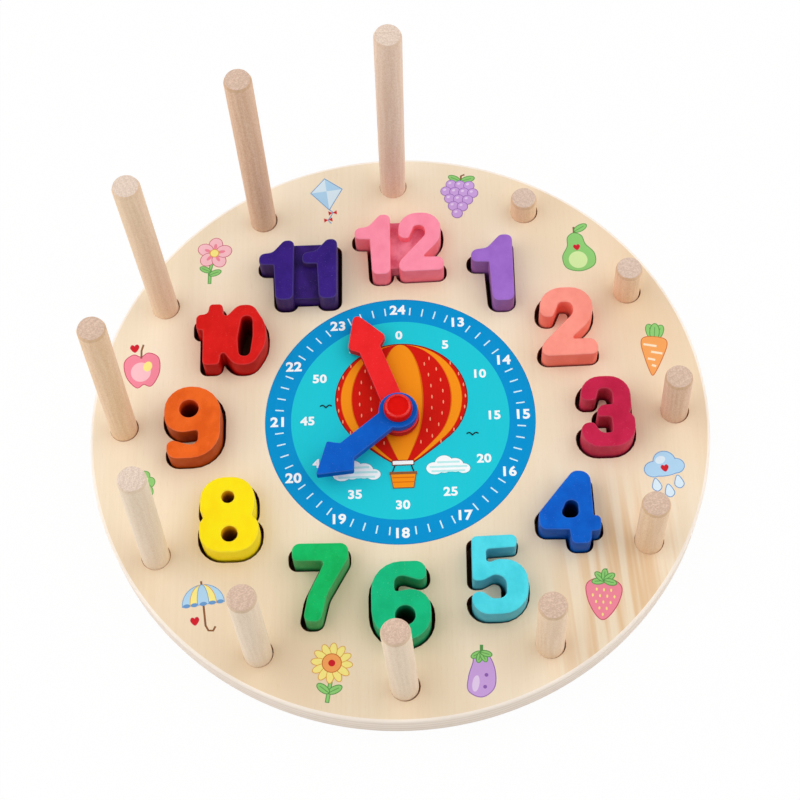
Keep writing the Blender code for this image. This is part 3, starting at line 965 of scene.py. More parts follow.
@dataclass
class BoardSheets:
    """The two glued sheets of the board: a plain lower one, and an upper one with recesses and post holes."""

    edge_mm: float = 1.0
    recess_edge_mm: float = 0.2
    hole_edge_mm: float = 0.22
    hole_area_mm2: float = 150.0
    joint_mm: float = 4.95
    bore_gap_mm: float = 0.7
    bore_depth_mm: float = 2.0
    facets: int = 288

    def build_upper(self) -> None:
        """Build the upper sheet on the recess outlines of its CAD node."""
        radius, _, top = round_extent("top_board")
        loops = sorted(level_loops("top_board")[round(top, 2)], key=signed_area, reverse=True)
        loops[0] = circle(0.0, 0.0, radius * MM, self.facets)
        recess = EdgeRound(self.recess_edge_mm, wall=1, steps=2, support=0.25)
        # Each post hole's wall and rounded rim take the drilled wall's painted shade.
        hole = EdgeRound(self.hole_edge_mm, wall=3, steps=2, support=0.25)
        small = self.hole_area_mm2 * MM * MM
        rounds = [hole if abs(signed_area(loop)) < small else recess for loop in loops]
        rounds[0] = EdgeRound(self.edge_mm, wall=2)
        work = bmesh.new()
        add_slab(work, loops, self.joint_mm * MM, top * MM, rounds)
        sheet = as_object("upper_sheet", work, [BirchVeneer(), LASER_WALL, PlyEdge(), DRILLED_WALL_PAINTED_SHADE])
        settle(sheet, BOARD, "birch_ply_upper", "top_board")

    def build_lower(self) -> None:
        """Build the lower sheet with the rivet's counterbore underneath."""
        radius = round_extent("top_board")[0]
        hole = min(point.length for loop in level_loops("top_board").popitem()[1] for point in loop) / MM
        bore = round_extent("pin_retainer")[0] + self.bore_gap_mm
        profile = [(hole, self.joint_mm), (radius, self.joint_mm)]
        profile += quarter(radius - self.edge_mm, self.edge_mm, self.edge_mm)
        profile += [(bore, 0.0), (bore, self.bore_depth_mm), (hole, self.bore_depth_mm)]
        work = revolved(profile, self.facets)
        # Upper flat faces are the recess floors, which take the floor's painted shade.
        for face in work.faces:
            flat = abs(face.normal.z) > FLAT_FROM
            upper = face.calc_center_median().z > self.joint_mm / 2.0 * MM
            face.material_index = 1 if not flat else 2 if upper else 0
        sheet = as_object("lower_sheet", work, [BirchVeneer(), PlyEdge(), FLOOR_PAINTED_SHADE])
        settle(sheet, BOARD, "birch_ply_lower", "base_board")

    def build(self) -> None:
        """Build both sheets."""
        self.build_upper()
        self.build_lower()


@dataclass
class LiftOutNumbers:
    """The twelve painted numbers, cut from thick wood with softened edges."""

    face_edge_mm: float = 0.65
    back_edge_mm: float = 0.4
    web_edge_mm: float = 0.3
    web_overlap_mm: float = 0.5

    def build_one(self, paint: NumberPaint) -> None:
        """Build one number.

        Args:
            paint: Paint, which also names the hour.
        """
        node = f"number_{paint.value[0]:02d}"
        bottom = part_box(node)[0].z
        levels = level_loops(node)
        work = bmesh.new()
        for level, loops in levels.items():
            web = level < max(levels)
            if web:
                loops = [[point - move * self.web_overlap_mm * MM for point, move in zip(loop, miters(loop))]
                         for loop in loops]
            edge = EdgeRound(self.web_edge_mm if web else self.face_edge_mm, self.back_edge_mm, wall=int(web))
            rounds = [replace(edge, wall=2) if signed_area(loop) < 0.0 else edge for loop in loops]
            add_slab(work, loops, bottom, level * MM, rounds, int(web))
        # Webs take their paint darkened as painted shade; hole walls take the hole paint with painted shade.
        item = as_object(f"{node}_painted", work, [paint.finish, paint.web_finish, paint.bored_finish])
        settle(item, node, paint.slot, node)

    def build(self) -> None:
        """Build all twelve numbers."""
        for paint in NumberPaint:
            self.build_one(paint)


@dataclass
class CountingPosts:
    """The twelve beech posts, each standing as loosely as its CAD node does.

    A post's head has a slope of so much across and down, with soft corners. The posts are turned to different
    sides, by the spin for each hour, so that no two show the same rings.
    """

    slope_mm: Span = (0.65, 1.7)
    foot_edge_mm: float = 0.6
    soft_mm: float = 0.15
    trim_mm: float = 0.15
    spin: float = 137.5
    facets: int = 48
    tones: tuple[tuple[DowelTone, tuple[int, ...]], ...] = (
        (DowelTone.PALE, (6, 7, 8)), (DowelTone.SANDY, (5, 10)), (DowelTone.WARM, (1, 2, 4, 9)),
        (DowelTone.ROSY, (12,)), (DowelTone.DARK, (3, 11)))
    ends: tuple[tuple[SawnEnd, tuple[int, ...]], ...] = (
        (SawnEnd.PALE, (8, 10, 12)), (SawnEnd.SANDY, (1, 2)), (SawnEnd.PINKISH, (3, 4, 5, 6, 7, 9, 11)))

    def finish(self, hour: int) -> BeechDowel:
        """Finish of one post, by its hour."""
        tone, end = (next(kind for kind, hours in row if hour in hours) for row in (self.tones, self.ends))
        return BeechDowel(f"beech_{tone.name.lower()}_{end.name.lower()}_end", *tone.value, *end.value)

    def build_one(self, hour: int) -> None:
        """Build the post of one hour on its node's own axis.

        Args:
            hour: Hour whose post it is.
        """
        node = f"post_{hour:02d}"
        points = [vert.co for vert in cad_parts[node].data.vertices]
        middle = sum(corner.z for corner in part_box(node)) / 2.0
        ends = ([point for point in points if (point.z > middle) == upper] for upper in (False, True))
        foot, head = (sum(end, Vector()) / len(end) for end in ends)
        axis = (head - foot).normalized()
        reach = [(point - foot).dot(axis) for point in points]
        radius = max((point - foot - axis * along).length for point, along in zip(points, reach)) / MM
        height = (max(reach) - min(reach)) / MM - self.trim_mm
        (across, down), soft, edge = self.slope_mm, self.soft_mm, self.foot_edge_mm
        profile = [(0.0, height), (radius - across - soft, height), (radius - across, height - soft / 2.0),
                   (radius - soft / 2.0, height - down + soft), (radius, height - down - soft)]
        profile += quarter(radius - edge, edge, edge) + [(0.0, 0.0)]
        item = as_object(f"{node}_dowel", revolved(profile, self.facets), [self.finish(hour)])
        upright = axis.to_track_quat("Z", "Y").to_matrix().to_4x4()
        spin = Matrix.Rotation(math.radians(self.spin * hour), 4, "Z")
        item.matrix_world = Matrix.Translation(foot + axis * min(reach)) @ upright @ spin
        settle(item, node, "beech_dowel", node)

    def build(self) -> None:
        """Build all twelve posts."""
        for hour in HOURS:
            self.build_one(hour)


@dataclass
class ClockHands:
    """The two painted hands, cut from thin wood with softened edges."""

    edge_mm: float = 0.55
    # The third colour of each paint tints the cut sides: end grain's deeper tint and painted shade.
    red: SprayedPaint = SprayedPaint("sprayed_hand_red", "F12528", "E71D20", "C2CEF3")
    blue: SprayedPaint = SprayedPaint("sprayed_hand_blue", "005FC8", "0053B9", "BCEDF0")

    def build_one(self, node: str, finish: SprayedPaint, slot: str) -> None:
        """Build one hand.

        Args:
            node: CAD node and body of the hand.
            finish: Its paint.
            slot: Material slot of the record.
        """
        bottom, top = (corner.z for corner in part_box(node))
        loops = level_loops(node)[round(top / MM, 2)]
        work = bmesh.new()
        add_slab(work, loops, bottom, top, [EdgeRound(self.edge_mm, self.edge_mm)] * len(loops))
        settle(as_object(f"{node}_painted", work, [finish]), node, slot, node)

    def build(self) -> None:
        """Build both hands."""
        self.build_one("minute_hand", self.red, "red_hand_paint")
        self.build_one("hour_hand", self.blue, "blue_hand_paint")


@dataclass
class HubRivet:
    """The snap rivet that the hands turn on, and the washer under them."""

    dish_share: float = 0.68
    lip_share: float = 0.76
    dish_mm: float = 0.8
    dish_rim_mm: float = 0.15
    dish_slope: tuple[float, ...] = (0.0, 0.2, 0.4, 0.6, 0.8)
    lip_drop_mm: float = 0.3
    shoulder_mm: float = 2.3
    shoulder_steps: int = 9
    polished_share: float = 0.2
    under_gap_mm: float = 0.3
    chamfer_mm: float = 0.3
    shank_mm: float = 2.3
    stub_mm: float = 1.1
    head_mm: float = 1.4
    head_round_mm: float = 0.4
    washer_bore_mm: float = 2.6
    washer_round_mm: float = 0.25
    facets: int = 72

    def build_cap(self) -> None:
        """Build the cap with its shank, as one moulded piece: a dished face inside a polished lip."""
        radius, foot, top = round_extent("hub_pin")
        under = round_extent("hour_hand")[2] + self.under_gap_mm
        dish, lip = self.dish_share * radius, self.lip_share * radius
        top -= self.lip_drop_mm
        face = top - self.dish_mm
        profile = [(0.0, face), (dish - self.dish_rim_mm, face)]
        profile += [(dish + (lip - dish) * share, face + self.dish_mm * math.sin(math.pi / 2.0 * share) ** 2)
                    for share in self.dish_slope]
        tall = self.shoulder_mm
        profile += quarter(lip, top - tall, radius - lip, 90.0, self.shoulder_steps, tall)
        profile += [(radius, under + self.chamfer_mm), (radius - self.chamfer_mm, under),
                    (self.shank_mm, under), (self.shank_mm, foot), (0.0, foot)]
        work = revolved(profile, self.facets)
        for part in work.faces:
            middle = part.calc_center_median() / MM
            raised = middle.z > top - self.polished_share * tall
            part.material_index = int(raised and middle.xy.length > dish)
        settle(as_object("hub_cap", work, [RED_ABS_MATT, RED_ABS]), BOARD, "red_plastic", "hub_pin")

    def build_retainer(self) -> None:
        """Build the lower half of the rivet."""
        radius, foot, top = round_extent("pin_retainer")
        edge, thick, stub = self.head_round_mm, self.head_mm, self.stub_mm
        profile = [(0.0, top), (stub, top), (stub, foot + thick), (radius, foot + thick)]
        profile += quarter(radius - edge, foot + edge, edge) + [(0.0, foot)]
        item = as_object("rivet_lower_half", revolved(profile, self.facets), [RED_ABS])
        settle(item, BOARD, "red_plastic", "pin_retainer")

    def build_washer(self) -> None:
        """Build the washer."""
        outer, bottom, top = round_extent("spacer_washer")
        inner, edge = self.washer_bore_mm, self.washer_round_mm
        profile = [(inner, top)] + quarter(outer - edge, top - edge, edge, 90.0)
        profile += quarter(outer - edge, bottom + edge, edge) + [(inner, bottom)]
        item = as_object("nylon_washer", revolved(profile, self.facets), [MILKY_NYLON])
        settle(item, BOARD, "clear_plastic", "spacer_washer")

    def build(self) -> None:
        """Build the rivet and the washer."""
        self.build_cap()
        self.build_retainer()
        self.build_washer()


def oval(x: float, y: float, wide: float, tall: float, turn: float = 0.0, facets: int = 28) -> Outline:
    """Outline of an ellipse.

    Args:
        x: Middle, to the right.
        y: Middle, upwards.
        wide: Half width.
        tall: Half height.
        turn: Degrees anticlockwise.
        facets: Number of points.

    Returns:
        The outline.
    """
    cosine, sine = math.cos(math.radians(turn)), math.sin(math.radians(turn))
    points = [(wide * p.x, tall * p.y) for p in circle(0.0, 0.0, 1.0, facets)]
    return [(x + a * cosine - b * sine, y + a * sine + b * cosine) for a, b in points]


def smooth(points: Outline, steps: int = 7) -> Outline:
    """Closed curve through a few points.

    Args:
        points: Points that the outline passes through.
        steps: Points made for each stretch.

    Returns:
        The outline.
    """
    result = []
    count = len(points)
    for index in range(count):
        p0, p1, p2, p3 = (Vector(points[(index + shift) % count]) for shift in (-1, 0, 1, 2))
        for step in range(steps):
            t = step / steps
            bend = (p1 * 2.0 + (p2 - p0) * t + (p0 * 2.0 - p1 * 5.0 + p2 * 4.0 - p3) * t * t
                    + (p1 * 3.0 - p0 - p2 * 3.0 + p3) * t ** 3) / 2.0
            result.append((bend.x, bend.y))
    return result


def both_sides(half: Outline, steps: int = 7) -> Outline:
    """Closed curve through the points of a right half, from the top down, and their mirror images."""
    return smooth(half + [(-x, y) for x, y in reversed(half) if x > 0.0], steps)


def ribbon(points: Outline, width: float) -> Outline:
    """Outline of a line of even width through a few points, such as a stem.

    Args:
        points: Points along its middle.
        width: Its width.

    Returns:
        The outline.
    """
    path = [Vector(point) for point in points]
    sides: tuple[Outline, Outline] = ([], [])
    for index, point in enumerate(path):
        before, after = path[max(index - 1, 0)], path[min(index + 1, len(path) - 1)]
        along = (after - before).normalized()
        across = Vector((-along.y, along.x)) * width / 2.0
        sides[0].append(tuple(point - across))
        sides[1].append(tuple(point + across))
    return sides[0] + sides[1][::-1]


def spread(count: int, start: float, step: float) -> list[Triple]:
    """Angles that fan out, each with its cosine and sine."""
    turns = [start + step * index for index in range(count)]
    return [(turn, math.cos(math.radians(turn)), math.sin(math.radians(turn))) for turn in turns]


def bunch(top: float, across: float, down: float) -> Outline:
    """Points of a bunch that hangs down: rows of three, four, three, two and one."""
    return [((index - (count - 1) / 2.0) * across, top - row * down)
            for row, count in enumerate((3, 4, 3, 2, 1)) for index in range(count)]


@dataclass
class Artwork:
    """Flat ink on the board's face. Patches are gathered, lowest first, and then laid as one piece."""

    film_mm: float = 0.003
    raised_mm: float = 0.0
    sunk_mm: float = 0.01

    def __post_init__(self) -> None:
        """Start without patches, and read the height of the board's face from the imported model."""
        self.patches: list[tuple[Outline, Ink]] = []
        self.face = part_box("top_board")[1].z + self.raised_mm * MM

    def fill(self, ink: Ink, *outlines: Outline) -> None:
        """Gather patches of one ink."""
        self.patches += [(outline, ink) for outline in outlines]

    def edge(self, ink: Ink, *outlines: Outline, line: Ink | None = None, width: float = 0.38) -> None:
        """Gather patches of one ink, with a thin line round the shape that they make together.

        Args:
            ink: The ink.
            outlines: Outlines of the patches.
            line: Ink of the line, if it isn't the deeper tone of the first.
            width: Width of the line, in millimetres.
        """
        for outline in outlines:
            loop = [Vector(point) for point in outline]
            out = math.copysign(width, signed_area(loop))
            grown = [tuple(point - move * out) for point, move in zip(loop, miters(loop))]
            self.fill(line or ink.deep, grown)
        self.fill(ink, *outlines)

    def lay(self, name: str, x: float = 0.0, y: float = 0.0, tilt: float = 0.0) -> None:
        """Lay the gathered patches on the board as one piece, each a little above the one before.

        Args:
            name: Name of the piece.
            x: Its place to the right, in millimetres.
            y: Its place upwards, in millimetres.
            tilt: Its turn, in degrees anticlockwise.
        """
        place = Matrix.Translation((x, y, 0.0)) @ Matrix.Rotation(math.radians(tilt), 4, "Z")
        inks = list(dict.fromkeys(ink for _, ink in self.patches))
        work = bmesh.new()
        for index, (outline, ink) in enumerate(self.patches):
            loop = [(place @ Vector((*point, 0.0))).xy * MM for point in outline]
            if signed_area(loop) < 0.0:
                loop.reverse()
            top = self.face + (index + 1) * self.film_mm * MM
            number = inks.index(ink)
            add_slab(work, [loop], self.face - self.sunk_mm * MM, top, [EdgeRound(wall=number)], number)
        settle(as_object(name, work, [ink.finish for ink in inks]), BOARD, "dial_print")
        self.patches.clear()


@dataclass
class Dial:
    """The printed dial: hour ring with 13 to 24, minute disc with 0 to 55, ticks and a balloon."""

    middle: Point = (0.6, 0.7)
    ring_radius: float = 61.25
    disc_radius: float = 49.46
    line_width: float = 0.3
    facets: int = 192
    hour_radius: float = 55.75
    hour_height: float = 4.9
    minute_radius: float = 42.4
    minute_height: float = 4.4
    minute_shift: Point = (0.35, 0.0)
    tucked: Point = (1.3, -0.8)
    tick_radius: float = 55.0
    tick_length: float = 3.9
    tick_width: float = 0.62
    ground_film_mm: float = 0.006
    tick_film_mm: float = 0.0002
    above_ground_mm: float = 0.024
    figure_film_mm: float = 0.03
    figure_width: float = 1.10
    figure_weight: float = 0.035
    figure_spacing: float = 1.06
    figure_bends: int = 6
    figure_depth: float = 0.01

    def rim_point(self, radius: float, turn: float) -> Point:
        """Point at a radius, at degrees clockwise from twelve."""
        return radius * math.sin(math.radians(turn)), radius * math.cos(math.radians(turn))

    def build_ground(self) -> None:
        """Print the ring and the disc."""
        ground = Artwork(self.ground_film_mm)
        inner = self.ring_radius - self.line_width
        for ink, radius in ((Ink.RIM_BLUE, self.ring_radius), (Ink.RING_BLUE, inner),
                            (Ink.DISC_BLUE, self.disc_radius)):
            ground.fill(ink, oval(0.0, 0.0, radius, radius, facets=self.facets))
        ground.lay("dial_ground", *self.middle)

    def build_ticks(self) -> None:
        """Print four ticks between each two hours."""
        ticks = Artwork(self.tick_film_mm, self.above_ground_mm)
        for minute in range(60):
            if minute % 5:
                ends = [self.rim_point(self.tick_radius + side * self.tick_length / 2.0, minute * 6.0)
                        for side in (-1.0, 1.0)]
                ticks.fill(Ink.TICK, ribbon(ends, self.tick_width))
        ticks.lay("dial_ticks", *self.middle)

    def add_figures(self, work: bmesh.types.BMesh, text: str, x: float, y: float, height: float) -> None:
        """Add the figures of one number, upright, with their middle at a point.

        Args:
            work: Mesh that takes the figures.
            text: The number.
            x: Middle, to the right, in millimetres.
            y: Middle, upwards, in millimetres.
            height: Height of the figures, in millimetres.
        """
        font = bpy.data.curves.new("figures", "FONT")
        font.body = text
        font.offset = self.figure_weight
        font.extrude = self.figure_depth
        font.resolution_u = self.figure_bends
        font.space_character = self.figure_spacing
        writing = place_in_scene("figures", font)
        bpy.context.view_layer.update()
        mesh = bpy.data.meshes.new_from_object(writing.evaluated_get(bpy.context.evaluated_depsgraph_get()))
        bpy.data.objects.remove(writing, do_unlink=True)
        xs = [vert.co.x for vert in mesh.vertices]
        ys = [vert.co.y for vert in mesh.vertices]
        scale = height * MM / (max(ys) - min(ys))
        thick = self.figure_film_mm * MM
        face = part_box("top_board")[1].z
        move = Matrix.Translation(((self.middle[0] + x) * MM, (self.middle[1] + y) * MM, face + thick))
        stretch = Matrix.Diagonal((scale * self.figure_width, scale, thick / self.figure_depth, 1.0))
        centre = Matrix.Translation((-(max(xs) + min(xs)) / 2.0, -(max(ys) + min(ys)) / 2.0, 0.0))
        mesh.transform(move @ stretch @ centre)
        work.from_mesh(mesh)
        bpy.data.meshes.remove(mesh)

    def build_figures(self) -> None:
        """Print 13 to 24 in the ring and 0 to 55 in the disc, with the 55 tucked under a hand."""
        work = bmesh.new()
        for step in range(12):
            turn = step * 30.0
            hour = str(12 + step) if step else "24"
            self.add_figures(work, hour, *self.rim_point(self.hour_radius, turn), self.hour_height)
            shift = [whole + (step == 11) * part for whole, part in zip(self.minute_shift, self.tucked)]
            x, y = self.rim_point(self.minute_radius, turn)
            self.add_figures(work, str(step * 5), x + shift[0], y + shift[1], self.minute_height)
        bmesh.ops.remove_doubles(work, verts=work.verts, dist=SAME_FIGURE_POINT)
        settle(as_object("dial_figures", work, [Ink.WHITE.finish]), BOARD, "dial_print")

    def build(self) -> None:
        """Print the whole dial."""
        self.build_ground()
        self.build_ticks()
        self.build_figures()
        BalloonPicture(raised_mm=self.above_ground_mm).build()


@dataclass
class BalloonPicture(Artwork):
    """A striped hot-air balloon between two clouds, printed in the middle of the dial."""

    middle: Point = (1.4, 10.6)
    radius: float = 27.5
    stretch: float = 1.08
    shoulder: float = -42.0
    mouth_half: float = 4.0
    mouth_y: float = -21.5
    neck_bend: float = 0.9
    gores: tuple[float, ...] = (-90.0, -68.0, -50.0, -19.0, 19.0, 50.0, 68.0, 90.0)
    seam: float = 0.7
    samples: int = 36
    fleck_turns: tuple[float, ...] = (-79.0, -40.0, -28.0, 28.0, 40.0, 79.0)
    fleck_rows: int = 8
    fleck_start: float = 10.0
    fleck_step: float = 5.6
    fleck_size: Span = (0.32, 0.95)
    flecked_from: float = 12.0
    wing_steps: tuple[float, ...] = (0.0, 0.15, 0.3, 0.45, 0.6, 0.8, 1.0)

    def half_width(self, y: float) -> float:
        """Half width of the envelope at a height.

        Args:
            y: The height.

        Returns:
            The half width.
        """
        turn_y = self.middle[1] + self.radius * math.sin(math.radians(self.shoulder))
        if y >= turn_y:
            return self.stretch * math.sqrt(max(self.radius ** 2 - (y - self.middle[1]) ** 2, 0.0))
        full = self.stretch * self.radius * math.cos(math.radians(self.shoulder))
        share = (y - self.mouth_y) / (turn_y - self.mouth_y)
        return self.mouth_half + (full - self.mouth_half) * share ** self.neck_bend

    def heights(self) -> list[float]:
        """Heights at which the envelope is drawn, closer together near its crown.

        Returns:
            The heights, from the mouth up.
        """
        tall = self.middle[1] + self.radius - self.mouth_y
        turns = [math.pi / 2.0 * step / self.samples for step in range(self.samples)]
        return [self.mouth_y + tall * math.sin(turn) for turn in turns]

    def gore(self, start: float, end: float) -> Outline:
        """Outline of the cloth between two seams.

        Args:
            start: Angle of the left seam, round the balloon.
            end: Angle of the right seam.

        Returns:
            The outline.
        """
        x, y = self.middle
        left, right = ([(x + math.sin(math.radians(turn)) * self.half_width(height), height)
                        for height in self.heights()] for turn in (start, end))
        return right + [(x, y + self.radius)] + left[::-1]

    def add_flecks(self) -> None:
        """Scatter short pale dashes evenly over the red cloth, where it is wide enough."""
        for row in range(self.fleck_rows):
            for turn in self.fleck_turns:
                shifted = 0.5 if abs(turn) == 40.0 else 0.0
                y = self.mouth_y + self.fleck_start + (row + shifted) * self.fleck_step
                if self.half_width(y) > self.flecked_from:
                    x = self.middle[0] + math.sin(math.radians(turn)) * self.half_width(y)
                    self.fill(Ink.FLECK, oval(x, y, *self.fleck_size, facets=10))

    def add_cloud(self, x: float, y: float, size: float) -> None:
        """Add a cloud of four puffs with pale blue stripes.

        Args:
            x: Middle, to the right.
            y: Middle, upwards.
            size: Triple, where 1 is about 18 mm wide.
        """
        puffs = [oval(x + a * size, y + b * size, c * size, d * size)
                 for a, b, c, d in ((-5.2, -0.6, 3.6, 2.8), (-1.2, 1.2, 4.0, 4.0), (3.4, 0.6, 3.6, 3.2),
                                    (7.0, -1.0, 2.8, 2.2))]
        self.edge(Ink.WHITE, *puffs, line=Ink.TEAL)
        for a, b, c in ((4.2, 2.1, 5.4), (7.4, 0.0, 8.6), (6.6, -2.0, 7.6)):
            stripe = [(x - a * size, y + b * size), (x + c * size, y + b * size)]
            self.fill(Ink.TEAL_PALE, ribbon(stripe, 0.9 * size))

    def add_envelope(self) -> None:
        """Add the balloon: red cloth, orange gores and dark seams."""
        self.edge(Ink.SCARLET, self.gore(-90.0, 90.0), width=0.5)
        for start, end in list(zip(self.gores, self.gores[1:]))[1::2]:
            self.fill(Ink.TANGERINE, self.gore(start, end))
        for turn in self.gores[1:-1]:
            self.fill(Ink.TANGERINE_DEEP, self.gore(turn - self.seam, turn + self.seam))

    def add_basket(self) -> None:
        """Add the basket, its ropes and the band at the balloon's mouth."""
        x, mouth, half = self.middle[0], self.mouth_y, self.mouth_half
        rim, foot = mouth - 5.0, mouth - 12.0
        for side in (-1.0, 1.0):
            self.fill(Ink.BLACK, ribbon([(x + side * half * 0.8, mouth), (x + side * 5.0, rim)], 0.45))
        body = [(x - 5.6, rim), (x - 4.4, foot), (x + 4.4, foot), (x + 5.6, rim)]
        self.edge(Ink.TANGERINE, body, line=Ink.BARK)
        for y in (rim - 2.2, rim - 4.4):
            self.fill(Ink.TANGERINE_DEEP, ribbon([(x - 5.0, y), (x + 5.0, y)], 0.5))
        self.fill(Ink.BARK, ribbon([(x - 6.2, rim), (x + 6.2, rim)], 1.3))
        band = ribbon([(x - half - 0.6, mouth), (x + half + 0.6, mouth)], 1.8)
        self.edge(Ink.WHITE, band, line=Ink.SCARLET_DEEP)

    def add_bird(self, x: float, y: float) -> None:
        """Add a far bird, as the line of its two wings.

        Args:
            x: Middle, to the right.
            y: Middle, upwards.
        """
        for side in (-1.0, 1.0):
            wing = [(x + side * share * 2.6, y + 1.3 * math.sin(2.5 * share)) for share in self.wing_steps]
            self.fill(Ink.BLACK, ribbon(wing, 0.45))

    def build(self) -> None:
        """Print the picture over the dial's ground."""
        self.add_cloud(-20.0, -25.5, 1.15)
        self.add_cloud(21.0, -24.0, 1.05)
        self.add_envelope()
        self.add_flecks()
        self.add_basket()
        self.add_bird(-33.0, 7.0)
        self.add_bird(33.0, -9.0)
        self.lay("dial_balloon")


@dataclass
class RimPictures(Artwork):
    """Twelve small printed pictures between the posts: fruit, flowers and a few things from a garden day."""

    radius: float = 122.0
    first_turn: float = 15.0
    tilt: float = 7.0

    def leaf(self, x: float, y: float, turn: float, length: float) -> None:
        """Add a leaf with its vein.

        Args:
            x: Foot, to the right.
            y: Foot, upwards.
            turn: Angle that it points at.
            length: Its length.
        """
        cosine, sine = math.cos(math.radians(turn)) * length, math.sin(math.radians(turn)) * length
        self.edge(Ink.LEAF, oval(x + cosine / 2.0, y + sine / 2.0, length / 2.0, length / 4.2, turn))
        self.fill(Ink.LEAF_DEEP, ribbon([(x, y), (x + cosine * 0.8, y + sine * 0.8)], 0.3))

    def heart(self, x: float, y: float, size: float) -> None:
        """Add a red heart.

        Args:
            x: Middle, to the right.
            y: Middle, upwards.
            size: Half of its height.
        """
        shape = both_sides([(0.0, 0.5), (0.3, 0.85), (0.75, 0.85), (0.95, 0.1), (0.0, -1.0)], 4)
        self.edge(Ink.BERRY, [(x + a * size, y + b * size) for a, b in shape], line=Ink.ROSE_DEEP, width=0.2)

    def grapes(self) -> None:
        """A lilac bunch of grapes."""
        self.fill(Ink.BARK, ribbon([(0.2, 7.0), (0.0, 11.5), (1.6, 12.4)], 0.9))
        self.leaf(0.4, 8.6, 22.0, 6.4)
        self.leaf(-0.4, 8.6, 158.0, 5.8)
        for x, y in bunch(6.2, 4.3, 4.0):
            self.edge(Ink.LILAC, oval(x, y, 2.4, 2.4, facets=20), width=0.3)
            self.fill(Ink.LILAC_PALE, oval(x - 0.7, y + 0.8, 0.8, 0.6, 30.0, 12))

    def pear(self) -> None:
        """A green pear."""
        self.fill(Ink.BARK, ribbon([(0.0, 7.6), (0.6, 12.0)], 1.0))
        self.leaf(0.6, 9.6, 24.0, 6.6)
        half = [(0.0, 8.6), (3.2, 6.6), (4.2, 1.8), (7.4, -3.6), (6.4, -9.6), (0.0, -12.0)]
        self.edge(Ink.LEAF, both_sides(half))
        self.fill(Ink.LEAF_PALE, oval(-0.6, -6.0, 4.4, 4.6))
        self.heart(0.0, 0.8, 1.5)

    def carrot(self) -> None:
        """An orange carrot with cream bands."""
        for turn in (112.0, 68.0, 90.0):
            self.leaf(0.0, 4.6, turn, 8.4)
        self.edge(Ink.APRICOT, both_sides([(3.6, 5.8), (5.8, 3.2), (4.2, -3.6), (0.8, -12.4)]))
        for x, y, half in ((-1.8, 2.0, 3.0), (1.4, -1.6, 2.6), (-0.8, -5.2, 1.7), (0.4, -8.4, 1.0)):
            self.fill(Ink.CREAM, ribbon([(x - half, y), (x + half, y - 0.5)], 1.1))

    def cloud(self) -> None:
        """A pale blue cloud with three drops of rain."""
        self.edge(Ink.SKY, oval(-4.6, 3.6, 4.2, 3.6), oval(0.6, 6.6, 4.8, 4.8), oval(5.0, 3.8, 3.9, 3.4),
                  oval(0.0, 2.4, 6.8, 2.6))
        self.fill(Ink.SKY_PALE, oval(-1.0, 7.6, 2.4, 1.8, 20.0))
        for x, y in ((-5.0, -4.4), (0.0, -8.0), (5.0, -4.4)):
            drop = smooth([(x, y + 3.4), (x + 1.9, y - 0.6), (x, y - 2.4), (x - 1.9, y - 0.6)])
            self.edge(Ink.SKY_PALE, drop, line=Ink.SKY_DEEP)
        self.heart(0.2, 3.4, 1.6)

    def strawberry(self) -> None:
        """A rose-red strawberry."""
        self.edge(Ink.ROSE, both_sides([(0.0, 6.0), (4.2, 6.6), (7.6, 3.0), (5.4, -5.4), (0.0, -11.4)]))
        self.fill(Ink.LEMON, *[oval(x, y, 0.42, 0.75, facets=10) for x, y in bunch(2.0, 3.1, 2.8)])
        self.fill(Ink.LEAF_DEEP, ribbon([(0.0, 6.0), (0.6, 11.8)], 1.0))
        for turn in (190.0, 140.0, 90.0, 40.0, -10.0):
            self.leaf(0.0, 6.2, turn, 5.2)

    def aubergine(self) -> None:
        """A lilac aubergine."""
        self.edge(Ink.LILAC, smooth([(1.4, 6.4), (4.8, 4.8), (6.2, -2.0), (4.6, -9.0), (-1.0, -12.0),
                                     (-6.0, -8.6), (-5.0, -2.6), (-2.2, 3.2), (-1.4, 6.0)]))
        self.fill(Ink.LILAC_PALE, oval(-2.6, -6.0, 1.5, 3.6, -18.0))
        self.fill(Ink.LEAF_DEEP, ribbon([(1.8, 6.0), (2.5, 10.4)], 1.4))
        for turn in (200.0, 245.0, 290.0, 335.0):
            self.leaf(1.8, 7.2, turn, 4.6)
        self.fill(Ink.LILAC_DEEP, oval(2.4, -3.0, 0.8, 0.8), oval(1.0, -8.0, 0.8, 0.8))

    def sunflower(self) -> None:
        """A yellow sunflower on its stem."""
        self.edge(Ink.LEAF, ribbon([(0.0, 3.0), (0.4, -4.0), (0.0, -12.4)], 1.1))
        self.leaf(0.2, -8.4, 32.0, 6.0)
        self.leaf(0.2, -8.4, 148.0, 6.0)
        for turn, cosine, sine in spread(12, 0.0, 30.0):
            self.edge(Ink.LEMON, oval(5.6 * cosine, 4.6 + 5.6 * sine, 3.2, 1.5, turn, 16), width=0.3)
        self.edge(Ink.APRICOT, oval(0.0, 4.6, 3.9, 3.9))
        self.fill(Ink.BERRY, oval(0.0, 4.6, 1.5, 1.5))

    def umbrella(self) -> None:
        """A pale blue umbrella with yellow panels."""
        self.fill(Ink.BARK, ribbon([(0.0, 11.8), (0.0, -8.6), (1.0, -11.0), (3.0, -11.4), (4.2, -9.6)], 0.9))
        for wide, ink in ((9.0, Ink.SKY), (5.58, Ink.LEMON), (2.34, Ink.SKY)):
            panel = [(wide * cosine, 1.2 + 8.8 * sine) for _, cosine, sine in spread(19, 0.0, 10.0)]
            self.edge(ink, panel, width=0.3)
        self.fill(Ink.SKY_DEEP, *[oval(x, 1.3, 1.6, 0.9) for x in (-7.3, -3.9, 0.0, 3.9, 7.3)])
        self.heart(-4.4, -6.0, 1.8)

